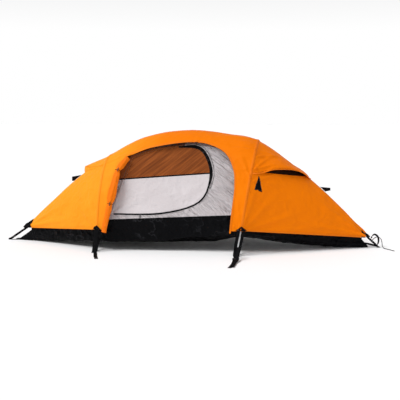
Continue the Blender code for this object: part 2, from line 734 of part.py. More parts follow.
def build_inner_walls():
    hole = door_outline(DOOR_GAP)
    plane_sheet("inner_near_wall", wall_outline(), "inner_grey", -1.0, -FABRIC / 2, FABRIC,
                holes=[hole])
    plane_sheet("inner_far_wall", wall_outline(), "inner_grey", 1.0, -FABRIC / 2, FABRIC)
    rows = []
    for x in stations_between(INNER_FOOT_X, INNER_HEAD_X, 12):
        half, low, shoulder_half, shoulder, ridge = inner_section(x)
        rows.append(roof_points(x, shoulder_half, shoulder, ridge, 3))
    sheet_object("inner_roof", grid_mesh("inner_roof", rows), "inner_grey")
    tape_in = door_outline(DOOR_GAP)
    tape_out = door_outline(DOOR_GAP + ZIP_TAPE_WIDTH)
    plane_sheet("inner_zip_tape", tape_out, "webbing_black", -1.0, GAP + ZIP_TAPE_THICK / 2,
                ZIP_TAPE_THICK, holes=[tape_in])


def build_inner_door():
    ring = door_outline()
    half_seam = DOOR_BAND_WIDTH / 2
    plane_sheet("inner_door_mesh", clip_ring(ring, (True, half_seam + GAP)), "mesh_brown",
                -1.0, -FABRIC / 2, FABRIC)
    plane_sheet("inner_door_fabric", clip_ring(ring, (False, half_seam + GAP)), "inner_grey",
                -1.0, -FABRIC / 2, FABRIC)
    band = clip_ring(clip_ring(ring, (True, -half_seam)), (False, -half_seam))
    plane_sheet("inner_door_seam", band, "webbing_black", -1.0, -FABRIC / 2, FABRIC)


# Poles

def hoop_leg_x(part, z):
    """X of the hoop's leaning plane at a height."""
    base, top, half, hem, power = fly_station(part, 0.0)
    return base + (top - base) * (z - hem) / (ridge_z(top) - hem)


def pole_foot(part, hem):
    """Where the near leg ends, so that its leaning point just stands on the strap."""
    reach = GAP + TIP_COLLAR + TIP_PIN
    height = reach
    for attempt in range(4):
        foot = Vector((hoop_leg_x(part, height), -HOOP_FOOT_Y[part], height))
        lean = (hem - foot).normalized()
        height = (WEBBING_THICK + GAP + reach * lean.z
                  + TIP_PIN_RADIUS * math.hypot(lean.x, lean.y))
    return Vector((hoop_leg_x(part, height), -HOOP_FOOT_Y[part], height))


def hoop_path(part):
    """The pole's centre line from the near foot over the top to the far foot."""
    arch = [fly_point(part, 0.0, math.pi * i / (2 * SIDE_STEPS), POLE_INSET)
            for i in range(2 * SIDE_STEPS + 1)]
    foot = pole_foot(part, arch[0])
    leg = [foot.lerp(arch[0], share) for share in (0.0, 0.33, 0.66)]
    far = [Vector((p.x, -p.y, p.z)) for p in reversed(leg)]
    return leg + arch + far


def ridge_path():
    """The ridge pole's centre line, between the sockets on the two hoops."""
    start = FOOT_HOOP_TOP_X + SOCKET_DEPTH_START
    end = HEAD_HOOP_TOP_X - SOCKET_DEPTH_START
    places = stations_between(start, end, 2 * MID_ROWS)
    return [Vector((x, 0, ridge_z(x) - POLE_INSET)) for x in places]


def path_length(path):
    return sum((b - a).length for a, b in zip(path, path[1:]))


def part_of_path(path, start, end):
    """The stretch of a path between two lengths along it."""
    made = []
    walked = 0.0
    for a, b in zip(path, path[1:]):
        step = (b - a).length
        for mark in (start, end):
            if walked < mark < walked + step:
                made.append((mark, a.lerp(b, (mark - walked) / step)))
        if start < walked + step < end:
            made.append((walked + step, b))
        walked += step
    if start <= 0.0:
        made.append((0.0, path[0]))
    if end >= walked:
        made.append((walked, path[-1]))
    made.sort(key=lambda item: item[0])
    clean = [made[0][1]]
    for mark, point in made[1:]:
        if (point - clean[-1]).length > 0.0005:
            clean.append(point)
    return clean


def tube_mesh(name, path, radius, bore=0.0, resolution=2):
    """A round rod along a path, or with a bore a hollow tube open at both ends."""
    line = bpy.data.curves.new(name, "CURVE")
    line.dimensions = "3D"
    line.bevel_depth = radius
    line.bevel_resolution = resolution
    line.use_fill_caps = not bore
    spline = line.splines.new("POLY")
    spline.points.add(len(path) - 1)
    for point, place in zip(spline.points, path):
        point.co = (*place, 1.0)
    guide = bpy.data.objects.new(name, line)
    PARTS.objects.link(guide)
    if bore:
        wall = guide.modifiers.new("wall", "SOLIDIFY")
        wall.thickness = radius - bore
        wall.offset = -1.0
    bpy.context.view_layer.update()
    graph = bpy.context.evaluated_depsgraph_get()
    mesh = bpy.data.meshes.new_from_object(guide.evaluated_get(graph))
    bpy.data.objects.remove(guide)
    bpy.data.curves.remove(line)
    work = bmesh.new()
    work.from_mesh(mesh)
    bmesh.ops.remove_doubles(work, verts=work.verts[:], dist=0.00001)
    bmesh.ops.recalc_face_normals(work, faces=work.faces[:])
    work.to_mesh(mesh)
    work.free()
    mesh.materials.clear()
    return mesh


def box_mesh(name, low, high, bevel=0.0):
    """An upright box between two corners, with its edges rounded."""
    work = bmesh.new()
    bmesh.ops.create_cube(work, size=1.0)
    low, high = Vector(low), Vector(high)
    size = high - low
    for vert in work.verts:
        vert.co = Vector((vert.co.x * size.x, vert.co.y * size.y, vert.co.z * size.z)) + (low + high) / 2
    if bevel:
        bmesh.ops.bevel(work, geom=work.edges[:], offset=bevel, segments=1, affect="EDGES")
    mesh = bpy.data.meshes.new(name)
    work.to_mesh(mesh)
    work.free()
    return mesh


def rod_mesh(name, start, end, radius, sides=12, end_radius=None):
    """A round rod or cone between two points."""
    start, end = Vector(start), Vector(end)
    along = end - start
    work = bmesh.new()
    bmesh.ops.create_cone(work, cap_ends=True, segments=sides, radius1=radius,
                          radius2=radius if end_radius is None else end_radius, depth=along.length)
    turn = along.to_track_quat("Z", "Y").to_matrix().to_4x4()
    bmesh.ops.transform(work, verts=work.verts[:], matrix=Matrix.Translation((start + end) / 2) @ turn)
    mesh = bpy.data.meshes.new(name)
    work.to_mesh(mesh)
    work.free()
    return mesh


def cutter_from(mesh):
    thing = bpy.data.objects.new(mesh.name, mesh)
    CUTTERS.objects.link(thing)
    return thing


def join_with(thing, other_mesh):
    """A union that stays as a modifier."""
    other = cutter_from(other_mesh)
    other.display_type = "WIRE"
    other.hide_render = True
    change = thing.modifiers.new("join", "BOOLEAN")
    change.object = other
    change.operation = "UNION"
    change.solver = "EXACT"


def build_pole(name, path, joint_share):
    """Two hollow sections, the sleeve round their joint and the elastic cord inside."""
    total = path_length(path)
    joint = total * joint_share
    for label, start, end in (("first", 0.0, joint - GAP / 2), ("second", joint + GAP / 2, total)):
        stretch = part_of_path(path, start, end)
        mesh = tube_mesh(name, stretch, POLE_RADIUS, POLE_BORE)
        add_object(f"{name}_{label}_section", mesh, "pole_grey")
    add_object(f"{name}_ferrule", sleeve(path, joint), "aluminium")
    add_object(f"{name}_shock_cord", tube_mesh(name, path, SHOCK_CORD_RADIUS), "elastic_white")


def build_poles():
    for part in ("foot", "head"):
        path = hoop_path(part)
        build_pole(f"{part}_hoop", path, HOOP_JOINT_SHARE)
        add_object(f"{part}_near_pole_tip", pole_tip(path[0], path[1]), "aluminium")
        add_object(f"{part}_far_pole_tip", pole_tip(path[-1], path[-2]), "aluminium")
    build_pole("ridge_pole", ridge_path(), RIDGE_JOINT_SHARE)


def sleeve(path, mark):
    """The metal sleeve round the joint of two pole sections."""
    stretch = part_of_path(path, mark - FERRULE_LENGTH / 2, mark + FERRULE_LENGTH / 2)
    return tube_mesh("pole_ferrule", stretch, FERRULE_RADIUS, POLE_FIT)


def pole_tip(foot, above):
    """The metal point below a pole's end, standing on the strap."""
    down = (foot - above).normalized()
    collar = foot + down * GAP
    waist = collar + down * TIP_COLLAR
    point = waist + down * TIP_PIN
    upper = rod_mesh("tip_collar", collar, waist, POLE_RADIUS)
    thing = bpy.data.objects.new("tip", upper)
    PARTS.objects.link(thing)
    join_with(thing, rod_mesh("tip_pin", waist - down * 0.001, point, TIP_PIN_RADIUS))
    bpy.context.view_layer.update()
    apply_modifiers(thing)
    mesh = thing.data
    bpy.data.objects.remove(thing)
    return mesh


def build_ridge_sockets():
    for part, top, sign in (("foot", FOOT_HOOP_TOP_X, 1.0), ("head", HEAD_HOOP_TOP_X, -1.0)):
        centre = Vector((top, 0, ridge_z(top) - POLE_INSET))
        path = ridge_path() if sign > 0 else ridge_path()[::-1]
        along = (path[1] - path[0]).normalized()
        mouth = path[0] + along * SOCKET_GRIP
        back = centre - along * SOCKET_RADIUS
        body = rod_mesh("ridge_socket", back, mouth, SOCKET_RADIUS, 16)
        thing = bpy.data.objects.new("socket", body)
        PARTS.objects.link(thing)
        cut_with(thing, cutter_from(tube_mesh("ridge_bore", [path[0] - along * GAP, path[1]],
                                              POLE_FIT)))
        hoop = hoop_path(part)
        middle = len(hoop) // 2
        cut_with(thing, cutter_from(tube_mesh("hoop_bore", hoop[middle - 2:middle + 3],
                                              POLE_FIT)))
        bpy.context.view_layer.update()
        apply_modifiers(thing)
        mesh = thing.data
        bpy.data.objects.remove(thing)
        add_object(f"{part}_ridge_socket", mesh, "plastic_black")


def build_inner_clips():
    """Plastic hooks that hang the inner tent's roof from the ridge pole."""
    for index, share in enumerate(CLIP_SHARES):
        x = mix(FOOT_HOOP_TOP_X, HEAD_HOOP_TOP_X, share)
        pole_z = ridge_z(x) - POLE_INSET
        slope = (ridge_z(x + 0.01) - ridge_z(x - 0.01)) / 0.02
        along = Vector((1, 0, slope)).normalized() * CLIP_LENGTH / 2
        middle = Vector((x, 0, pole_z))
        thing = bpy.data.objects.new("clip", rod_mesh("clip_ring", middle - along, middle + along,
                                                      CLIP_RADIUS, 16))
        PARTS.objects.link(thing)
        roof_z = ridge_z(x) - INNER_DROP + GAP + abs(slope) * CLIP_STEM / 2
        join_with(thing, box_mesh("clip_stem", (x - CLIP_STEM / 2, -CLIP_STEM / 2, roof_z),
                                  (x + CLIP_STEM / 2, CLIP_STEM / 2, pole_z - POLE_RADIUS)))
        cut_with(thing, cutter_from(rod_mesh("clip_bore", middle - along * 3, middle + along * 3,
                                             POLE_RADIUS + GAP * 2, 16)))
        bpy.context.view_layer.update()
        apply_modifiers(thing)
        mesh = thing.data
        bpy.data.objects.remove(thing)
        add_object(f"inner_clip_{index + 1}", mesh, "plastic_black")


# Webbing, straps and buckles

def ribbon_mesh(name, path, width, across, thickness=WEBBING_THICK):
    """A flat strap along a path."""
    half = Vector(across).normalized() * width / 2
    mesh = grid_mesh(name, [[Vector(p) - half, Vector(p) + half] for p in path])
    thing = bpy.data.objects.new(name, mesh)
    PARTS.objects.link(thing)
    shell = thing.modifiers.new("webbing", "SOLIDIFY")
    shell.thickness = thickness
    shell.offset = 0.0
    bpy.context.view_layer.update()
    apply_modifiers(thing)
    made = thing.data
    bpy.data.objects.remove(thing)
    return made


def strap_ground_x(part):
    return hoop_leg_x(part, 0.0)


def build_hoop_straps():
    for part in ("foot", "head"):
        x = strap_ground_x(part)
        foot_y = HOOP_FOOT_Y[part]
        beside = [tub_section(x + side * WEBBING_WIDTH / 2)[2] for side in (-1.0, 0.0, 1.0)]
        edge_y = max(abs(point.y) for point in beside)
        edge_z = beside[1].z
        middle = WEBBING_THICK / 2
        rise = LOCK_LIFT if part == "head" else 0.0
        start_y = foot_y + STRAP_PAST_TIP
        end_y = STRAP_END_Y[part]
        profile = [(edge_y + STRAP_OFF_TUB, edge_z + STRAP_RISE),
                   (mix(edge_y, foot_y - STRAP_PAST_TIP, 0.5), (edge_z + STRAP_RISE) / 2),
                   (foot_y - STRAP_PAST_TIP, middle + 0.001), (foot_y, middle), (start_y, middle)]
        if rise:
            profile += [(LOCK_Y - LOCK_FLAT, middle + rise), (LOCK_Y + LOCK_FLAT, middle + rise),
                        (mix(LOCK_Y + LOCK_FLAT, end_y, 0.4), middle)]
        profile.append((end_y, middle))
        for side, label in ((-1.0, "near"), (1.0, "far")):
            path = [Vector((x, side * y, z)) for y, z in profile]
            mesh = ribbon_mesh(f"{part}_{label}_strap", path, WEBBING_WIDTH, (1, 0, 0))
            add_object(f"{part}_{label}_strap", mesh, "webbing_black")
            if rise:
                build_ladder_lock(label, x, side)


def placed(name, mesh, colour, origin):
    """An object whose origin lies on its joint's axis."""
    mesh.transform(Matrix.Translation(-Vector(origin)))
    thing = add_object(name, mesh, colour)
    thing.location = origin
    return thing


def build_ladder_lock(label, x, side):
    """The sliding plastic buckle on a head hoop strap: a frame round the webbing."""
    y = side * LOCK_Y
    centre_z = LOCK_LIFT + WEBBING_THICK / 2
    slot = WEBBING_THICK / 2 + LOCK_CLEAR
    low = (x - LOCK_WIDTH / 2, y - LOCK_LENGTH / 2, centre_z - slot - LOCK_WALL)
    high = (x + LOCK_WIDTH / 2, y + LOCK_LENGTH / 2, centre_z + slot + LOCK_WALL * 1.6)
    mesh = box_mesh(f"head_{label}_ladder_lock", low, high, 0.0012)
    thing = bpy.data.objects.new("lock", mesh)
    PARTS.objects.link(thing)
    hole = box_mesh("lock_slot", (x - WEBBING_WIDTH / 2 - LOCK_CLEAR, y - LOCK_LENGTH, centre_z - slot),
                    (x + WEBBING_WIDTH / 2 + LOCK_CLEAR, y + LOCK_LENGTH, centre_z + slot))
    cut_with(thing, cutter_from(hole))
    window = box_mesh("lock_window", (x - WEBBING_WIDTH / 2, y - LOCK_LENGTH * 0.16, centre_z),
                      (x + WEBBING_WIDTH / 2, y + LOCK_LENGTH * 0.16, centre_z + 0.02))
    cut_with(thing, cutter_from(window))
    bpy.context.view_layer.update()
    apply_modifiers(thing)
    made = thing.data
    bpy.data.objects.remove(thing)
    placed(f"head_{label}_ladder_lock", made, "plastic_black", (x, y, centre_z))


def build_tip_loops():
    """The webbing at each end, from the fly's corner down to the stake point and back to the tub."""
    for part, tip_x, sign in (("foot", FOOT_TIP_X, -1.0), ("head", HEAD_TIP_X, 1.0)):
        hem_z = HEM_FOOT_TIP_Z if part == "foot" else HEM_HEAD_TIP_Z
        stake_x = tip_x + sign * TIP_REACH[part]
        top_z = RIDGE_FOOT_TIP_Z if part == "foot" else RIDGE_HEAD_TIP_Z
        start_x = tip_x + sign * (GAP + TIP_WEBBING_THICK)
        tub_x = tip_x - sign * (TUB_TIP_SETBACK - GAP)
        flat = TIP_WEBBING_THICK / 2
        path = [(start_x, top_z), (start_x + sign * 0.010, hem_z + 0.002),
                (stake_x - sign * 0.010, 3.2 * TIP_WEBBING_THICK), (stake_x, 2.2 * TIP_WEBBING_THICK),
                (stake_x + sign * 0.002, 1.2 * TIP_WEBBING_THICK), (stake_x - sign * 0.004, flat),
                (tub_x, flat)]
        path = [Vector((x, 0, z)) for x, z in path]
        mesh = ribbon_mesh(f"{part}_tip_strap", path, TIP_WEBBING_WIDTH, (0, 1, 0), TIP_WEBBING_THICK)
        add_object(f"{part}_tip_strap", mesh, "webbing_black")
        build_tip_buckle(part, path[1], path[2])


def build_tip_buckle(part, start, end):
    """The small adjuster on an end strap, square to it."""
    share = TIP_BUCKLE_SHARE[part]
    centre = Vector(start).lerp(Vector(end), share)
    along = (Vector(end) - Vector(start)).normalized()
    up = along.cross(Vector((0, 1, 0))).normalized()
    frame = Matrix((
        (along.x, 0, up.x, centre.x), (along.y, 1, up.y, centre.y),
        (along.z, 0, up.z, centre.z), (0, 0, 0, 1)))
    slot = TIP_WEBBING_THICK / 2 + LOCK_CLEAR / 2
    half_width = TIP_WEBBING_WIDTH / 2 + LOCK_CLEAR / 2
    body = box_mesh(f"{part}_tip_buckle", (-TIP_BUCKLE_LENGTH / 2, -half_width - 0.0035, -slot - 0.0022),
                    (TIP_BUCKLE_LENGTH / 2, half_width + 0.0035, slot + 0.0030), 0.001)
    hole = box_mesh("tip_slot", (-TIP_BUCKLE_LENGTH, -half_width, -slot),
                    (TIP_BUCKLE_LENGTH, half_width, slot))
    body.transform(frame)
    hole.transform(frame)
    thing = bpy.data.objects.new("buckle", body)
    PARTS.objects.link(thing)
    cut_with(thing, cutter_from(hole))
    bpy.context.view_layer.update()
    apply_modifiers(thing)
    made = thing.data
    bpy.data.objects.remove(thing)
    placed(f"{part}_tip_buckle", made, "plastic_black", tuple(centre))


# Fly door, its zip, the guy tabs and the cord

def fly_place(x, z, inset=0.0):
    """The point of the fly's near side between the hoops at x and z."""
    low, high = 0.0, 1.0
    for attempt in range(30):
        share = (low + high) / 2
        base, top, half, hem, power = fly_station("mid", share)
        rise = min(1.0, max(0.0, (z - hem) / (ridge_z(top) - inset - hem)))
        if mix(base, top, rise) < x:
            low = share
        else:
            high = share
    y = -(half - inset) * (1.0 - rise**power) ** (1.0 / power)
    return Vector((x, y, z))


def roll_path():
    """The rolled door's centre line, beside the doorway's left edge."""
    edge = spline_points([FLY_DOOR_LEFT_HIGH, FLY_DOOR_LEFT_MID, FLY_DOOR_LEFT_LOW], 6)
    offset = ROLL_RADIUS + ROLL_STANDOFF
    made = []
    for point in edge:
        if ROLL_LOW_Z <= point.y <= ROLL_HIGH_Z:
            place = fly_place(point.x + offset, point.y)
            made.append(Vector((place.x, place.y - ROLL_PROUD, place.z)))
    return made


def build_fly_door():
    path = roll_path()
    mesh = tube_mesh("fly_door_roll", path, ROLL_RADIUS, resolution=3)
    add_object("fly_door_roll", mesh, "fly_orange")
    for label, height in zip(("upper", "lower"), TIE_HEIGHTS):
        spot = min(range(1, len(path) - 1), key=lambda i: abs(path[i].z - height))
        centre = path[spot]
        along = (path[spot + 1] - path[spot - 1]).normalized()
        out = Vector((0, -1, 0))
        out = (out - along * out.dot(along)).normalized()
        loop = ring_mesh("loop", centre, along, ROLL_RADIUS + GAP + LOOP_RADIUS, LOOP_RADIUS)
        thing = bpy.data.objects.new("tie", loop)
        PARTS.objects.link(thing)
        spot_out = centre + out * (ROLL_RADIUS + LOOP_RADIUS + 2 * GAP + TOGGLE_RADIUS)
        join_with(thing, rod_mesh("toggle", spot_out - along * TOGGLE_LENGTH / 2,
                                  spot_out + along * TOGGLE_LENGTH / 2, TOGGLE_RADIUS, 12))
        bpy.context.view_layer.update()
        apply_modifiers(thing)
        mesh = thing.data
        bpy.data.objects.remove(thing)
        add_object(f"door_tie_{label}", mesh, "webbing_black")


def ring_mesh(name, centre, axis, radius, wire):
    """A closed round loop of cord."""
    side = axis.orthogonal().normalized()
    other = axis.cross(side).normalized()
    steps = 20
    work = bmesh.new()
    rows = []
    for i in range(steps):
        turn = 2 * math.pi * i / steps
        out = side * math.cos(turn) + other * math.sin(turn)
        rows.append([work.verts.new(centre + out * (radius + wire * math.cos(2 * math.pi * k / 6))
                                    + axis * wire * math.sin(2 * math.pi * k / 6))
                     for k in range(6)])
    for i in range(steps):
        for k in range(6):
            work.faces.new((rows[i][k], rows[i][(k + 1) % 6],
                            rows[(i + 1) % steps][(k + 1) % 6], rows[(i + 1) % steps][k]))
    bmesh.ops.recalc_face_normals(work, faces=work.faces[:])
    mesh = bpy.data.meshes.new(name)
    work.to_mesh(mesh)
    work.free()
    return mesh


def build_fly_zip():
    """The zip's tape along the doorway's right and upper edge, inside the fly, and its slider."""
    edge = spline_points([FLY_DOOR_RIGHT_LOW, FLY_DOOR_RIGHT_1, FLY_DOOR_RIGHT_2, FLY_DOOR_RIGHT_3,
                          FLY_DOOR_RIGHT_4, FLY_DOOR_TOP, FLY_DOOR_TOP_LEFT], 4)
    rows = []
    for before, here, after in zip(edge, edge[1:], edge[2:]):
        if here.y < FLY_ZIP_LOW_Z:
            continue
        along = (after - before).normalized()
        away = Vector((along.y, -along.x))
        inner = here + away * FLY_ZIP_EDGE
        outer = here + away * (FLY_ZIP_EDGE + FLY_ZIP_WIDTH)
        rows.append([fly_place(inner.x, inner.y, FLY_ZIP_INSET), fly_place(outer.x, outer.y, FLY_ZIP_INSET)])
    mesh = grid_mesh("fly_zip_tape", rows)
    sheet_object("fly_zip_tape", mesh, "webbing_black")
    low = (rows[0][0] + rows[0][1]) / 2
    high = (rows[1][0] + rows[1][1]) / 2
    along = (high - low).normalized()
    centre = low + along * FLY_SLIDER_UP + Vector((0, FABRIC + GAP * 3 + SLIDER_THICK / 2, 0))
    body = box_mesh("fly_zip_slider", centre - Vector((SLIDER_WIDTH, SLIDER_THICK, SLIDER_LENGTH)) / 2,
                    centre + Vector((SLIDER_WIDTH, SLIDER_THICK, SLIDER_LENGTH)) / 2, 0.001)
    placed("fly_zip_slider", body, "aluminium", tuple(centre))


def build_inner_zip():
    """The slider on the inner door's lower zip, with its hanging pull."""
    ring = door_outline(DOOR_GAP + ZIP_TAPE_WIDTH / 2)
    before, spot, after = ring[INNER_SLIDER_POINT - 1:INNER_SLIDER_POINT + 2]
    out = GAP * 2 + ZIP_TAPE_THICK + SLIDER_THICK / 2 + GAP
    centre = plane_point(*spot, -1.0, out)
    side = (plane_point(*after) - plane_point(*before)).normalized()
    normal = Vector((0, -1.0, WALL_SLOPE)).normalized()
    up = normal.cross(side)
    frame = Matrix(((side.x, up.x, normal.x, centre.x), (side.y, up.y, normal.y, centre.y),
                    (side.z, up.z, normal.z, centre.z), (0, 0, 0, 1)))
    body = box_mesh("inner_zip_slider", (-SLIDER_LENGTH / 2, -SLIDER_WIDTH / 2, -SLIDER_THICK / 2),
                    (SLIDER_LENGTH / 2, SLIDER_WIDTH / 2, SLIDER_THICK / 2), 0.001)
    body.transform(frame)
    placed("inner_zip_slider", body, "aluminium", tuple(centre))
    pivot = centre + normal * (SLIDER_THICK / 2 + GAP + PULL_THICK / 2)
    pull = box_mesh("inner_zip_pull", (-PULL_WIDTH / 2, -PULL_LENGTH, -PULL_THICK / 2),
                    (PULL_WIDTH / 2, PULL_THICK / 2, PULL_THICK / 2), 0.0006)
    frame.translation = pivot
    pull.transform(frame)
    placed("inner_zip_pull", pull, "plastic_black", tuple(pivot))


def build_guy_tabs():
    for label, low_angle, high_angle in (
            ("near", PATCH_ANGLE_LOW, PATCH_ANGLE_HIGH),
            ("far", math.pi - PATCH_ANGLE_LOW, math.pi - PATCH_ANGLE_HIGH)):
        rows = []
        for row in range(5):
            drop = row / 4
            angle = mix(high_angle, low_angle, drop)
            middle = mix(PATCH_SHARE, PATCH_SHARE + 0.008, drop)
            wide = mix(0.002, PATCH_HALF_SHARE, drop)
            rows.append([fly_point("head", middle + wide * k, angle, -PATCH_OUT) for k in (-1, 0, 1)])
        mesh = grid_mesh(f"{label}_guy_patch", rows)
        sheet_object(f"{label}_guy_patch", mesh, "webbing_black", PATCH_OUT - GAP)
    for part, root_x, sign in (("head", HEAD_GUY_X, 1.0), ("foot", FOOT_GUY_X, -1.0)):
        end_x = root_x + sign * GUY_TAB_ROOT
        high = Vector((root_x, ridge_z(root_x) + GUY_TAB_OFF[part]))
        low = Vector((end_x, ridge_z(end_x) + GUY_TAB_OFF[part]))
        tip = low + Vector((sign * GUY_TAB_REACH, GUY_TAB_RISE))
        prism = outline_prism("tab", [high, tip + Vector((0, 0.006)), tip, low],
                              -GUY_TAB_WIDTH / 2, GUY_TAB_WIDTH / 2)
        mesh = prism.data
        bpy.data.objects.remove(prism)
        add_object(f"{part}_guy_tab", mesh, "webbing_black", smooth=False)


def build_guy_cord():
    """The loose cord at the head end: up from its adjuster, over, and away along the ground."""
    path = spline_points(CORD_POINTS, 3)
    mesh = tube_mesh("head_guy_cord", path, CORD_RADIUS)
    add_object("head_guy_cord", mesh, "webbing_black")


def main():
    build_fly()
    build_vents()
    build_tub()
    build_inner_ends()
    build_inner_walls()
    build_inner_door()
    build_poles()
    build_ridge_sockets()
    build_inner_clips()
    build_hoop_straps()
    build_tip_loops()
    build_fly_door()
    build_fly_zip()
    build_inner_zip()
    build_guy_tabs()
    build_guy_cord()


clear_scene()
PARTS = new_collection("one_person_tent")
CUTTERS = new_collection("cutters")
main()
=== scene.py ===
"""A one-person tent dressed for rendering: fabric panels, seams, zips, webbing, poles and hardware.
Metres, +Z up, +X to the head end. The door faces -Y and the ground is z = 0."""
import math

import bmesh
import bpy
import numpy as np
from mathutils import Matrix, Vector, noise


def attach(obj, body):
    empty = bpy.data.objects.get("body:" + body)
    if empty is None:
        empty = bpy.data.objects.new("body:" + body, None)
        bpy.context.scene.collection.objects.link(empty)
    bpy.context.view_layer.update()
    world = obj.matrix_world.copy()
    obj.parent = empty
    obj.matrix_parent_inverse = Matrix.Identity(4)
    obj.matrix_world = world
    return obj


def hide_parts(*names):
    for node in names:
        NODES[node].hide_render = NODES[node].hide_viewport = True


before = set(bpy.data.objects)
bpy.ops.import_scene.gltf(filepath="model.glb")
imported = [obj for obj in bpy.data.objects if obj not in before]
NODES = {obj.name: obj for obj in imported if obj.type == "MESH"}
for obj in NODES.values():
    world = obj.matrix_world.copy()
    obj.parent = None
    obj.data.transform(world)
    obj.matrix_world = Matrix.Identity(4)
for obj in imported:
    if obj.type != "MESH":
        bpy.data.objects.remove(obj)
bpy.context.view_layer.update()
SCENE = bpy.context.scene

# Fly sheet, hoops and ridge, as in the model's source
FOOT_TIP_X, HEAD_TIP_X = -1.245, 1.25
FOOT_HOOP_X, FOOT_HOOP_TOP_X = -0.625, -0.605
HEAD_HOOP_X, HEAD_HOOP_TOP_X = 0.385, 0.480
RIDGE = [(-1.245, 0.126), (-0.893, 0.452), (-0.605, 0.652), (-0.3446, 0.78376), (-0.0191, 0.835),
         (0.263, 0.80872), (0.480, 0.762), (0.8419, 0.500), (1.1037, 0.262), (1.25, 0.100)]
HALVES = {"foot": (0.375, 0.042), "head": (0.420, 0.042)}
HEMS = {"foot": (0.150, 0.100), "head": (0.168, 0.076)}
MID_HALF = [(0, 0.375), (0.5, 0.400), (1, 0.420)]
MID_HEM = [(0, 0.150), (0.5, 0.146), (1, 0.168)]
FLY_ROUND, TIP_ROUND = 2.1, 1.8
CUTS = {"head": (0.842, 0.500, 0.150), "foot": (-0.785, 0.532, -0.36)}
HOOD = {"head": (0.056, 0.33, 1.0), "foot": (0.042, 0.17, -1.0)}

# Fly doorway and inner door outlines, as (x, z)
FLY_DOOR = [(0.302, 0.100), (0.320, 0.290), (0.336, 0.460), (0.320, 0.592), (0.240, 0.703),
            (0.050, 0.758), (-0.250, 0.722), (-0.432, 0.654)]
FLY_DOOR_LEFT = [(-0.432, 0.654), (-0.484, 0.565), (-0.520, 0.450), (-0.592, 0.100)]
DOOR = [(-0.520, 0.262), (-0.175, 0.272), (0.085, 0.352), (0.153, 0.530), (0.096, 0.684),
        (-0.020, 0.716), (-0.230, 0.697), (-0.398, 0.640)]
DOOR_BAND = (0.492, 0.075)

# Inner tent and tub floor
WALL_HALF, WALL_REF_Z, WALL_SLOPE = 0.335, 0.240, 0.33
INNER_FOOT_X, INNER_HEAD_X = -0.560, 0.345
TUB_ENDS = (-1.220, 1.225)
CLOTH = 0.0006


def mix(a, b, t):
    """The value the share t of the way from a to b."""
    return a + (b - a) * t


def curve_through(stations, x):
    """Smooth value at x from (x, value) stations."""
    if x <= stations[0][0]:
        return stations[0][1]
    if x >= stations[-1][0]:
        return stations[-1][1]
    i = max(k for k in range(len(stations) - 1) if stations[k][0] <= x)

    def slope(k):
        left, right = stations[max(k - 1, 0)], stations[min(k + 1, len(stations) - 1)]
        return (right[1] - left[1]) / (right[0] - left[0])

    (x0, v0), (x1, v1) = stations[i], stations[i + 1]
    span = x1 - x0
    t = (x - x0) / span
    return ((2 * t**3 - 3 * t**2 + 1) * v0 + (t**3 - 2 * t**2 + t) * span * slope(i)
            + (3 * t**2 - 2 * t**3) * v1 + (t**3 - t**2) * span * slope(i + 1))


def spline_points(points, per_span):
    """Smooth points through the given ones."""
    made = []
    count = len(points)
    for i in range(count - 1):
        a, b, c, d = [np.array(points[min(max(i + k - 1, 0), count - 1)], float) for k in range(4)]
        for step in range(per_span):
            t = step / per_span
            made.append(0.5 * (2 * b + (c - a) * t + (2 * a - 5 * b + 4 * c - d) * t * t
                               + (3 * b - a - 3 * c + d) * t**3))
    made.append(np.array(points[-1], float))
    return made


def evenly(points, step):
    """The same line with points at even steps."""
    points = [np.array(p, float) for p in points]
    walked = np.concatenate([[0], np.cumsum([np.linalg.norm(b - a) for a, b in zip(points, points[1:])])])
    marks = np.linspace(0, walked[-1], max(2, int(round(walked[-1] / step)) + 1))
    return np.stack([np.interp(marks, walked, [p[k] for p in points]) for k in range(len(points[0]))], 1)


def ridge_z(x):
    return curve_through(RIDGE, x)


def fly_station(part, share):
    """The fly's section: x at its hem and its ridge, half width, hem height and roundness."""
    if part in HALVES:
        base_x, top_x = ((FOOT_HOOP_X, FOOT_HOOP_TOP_X) if part == "foot"
                         else (HEAD_HOOP_X, HEAD_HOOP_TOP_X))
        tip = FOOT_TIP_X if part == "foot" else HEAD_TIP_X
        return (mix(base_x, tip, share), mix(top_x, tip, share), mix(*HALVES[part], share),
                mix(*HEMS[part], share), mix(FLY_ROUND, TIP_ROUND, share))
    return (mix(FOOT_HOOP_X, HEAD_HOOP_X, share), mix(FOOT_HOOP_TOP_X, HEAD_HOOP_TOP_X, share),
            curve_through(MID_HALF, share), curve_through(MID_HEM, share), FLY_ROUND)


def fly_grid(part, shares, angles, inset=0.0):
    """Fly surface points for each share along the part and each angle across it."""
    rows = []
    for share in shares:
        base, top, half, hem, power = fly_station(part, share)
        height = ridge_z(top) - hem - inset
        across, up = np.cos(angles), np.sin(angles)
        y = -np.sign(across) * np.abs(across) ** (2 / power) * (half - inset)
        rise = np.abs(up) ** (2 / power)
        rows.append(np.stack([mix(base, top, rise), y, hem + height * rise], 1))
    return np.array(rows)


def fly_place(x, z, inset=0.0):
    """The point of the fly's door side at x and z."""
    low, high = 0.0, 1.0
    for attempt in range(26):
        share = (low + high) / 2
        base, top, half, hem, power = fly_station("mid", share)
        rise = min(1.0, max(0.0, (z - hem) / (ridge_z(top) - inset - hem)))
        if mix(base, top, rise) < x:
            low = share
        else:
            high = share
    y = -(half - inset) * (1.0 - rise**power) ** (1.0 / power)
    return np.array((x, y, z))


def wall_half(z):
    return WALL_HALF - WALL_SLOPE * (z - WALL_REF_Z)


def wall_normal(side=-1.0):
    """The direction square to the inner tent's wall: side is -1 near and 1 far."""
    return np.array((0, side, WALL_SLOPE)) / math.hypot(1, WALL_SLOPE)


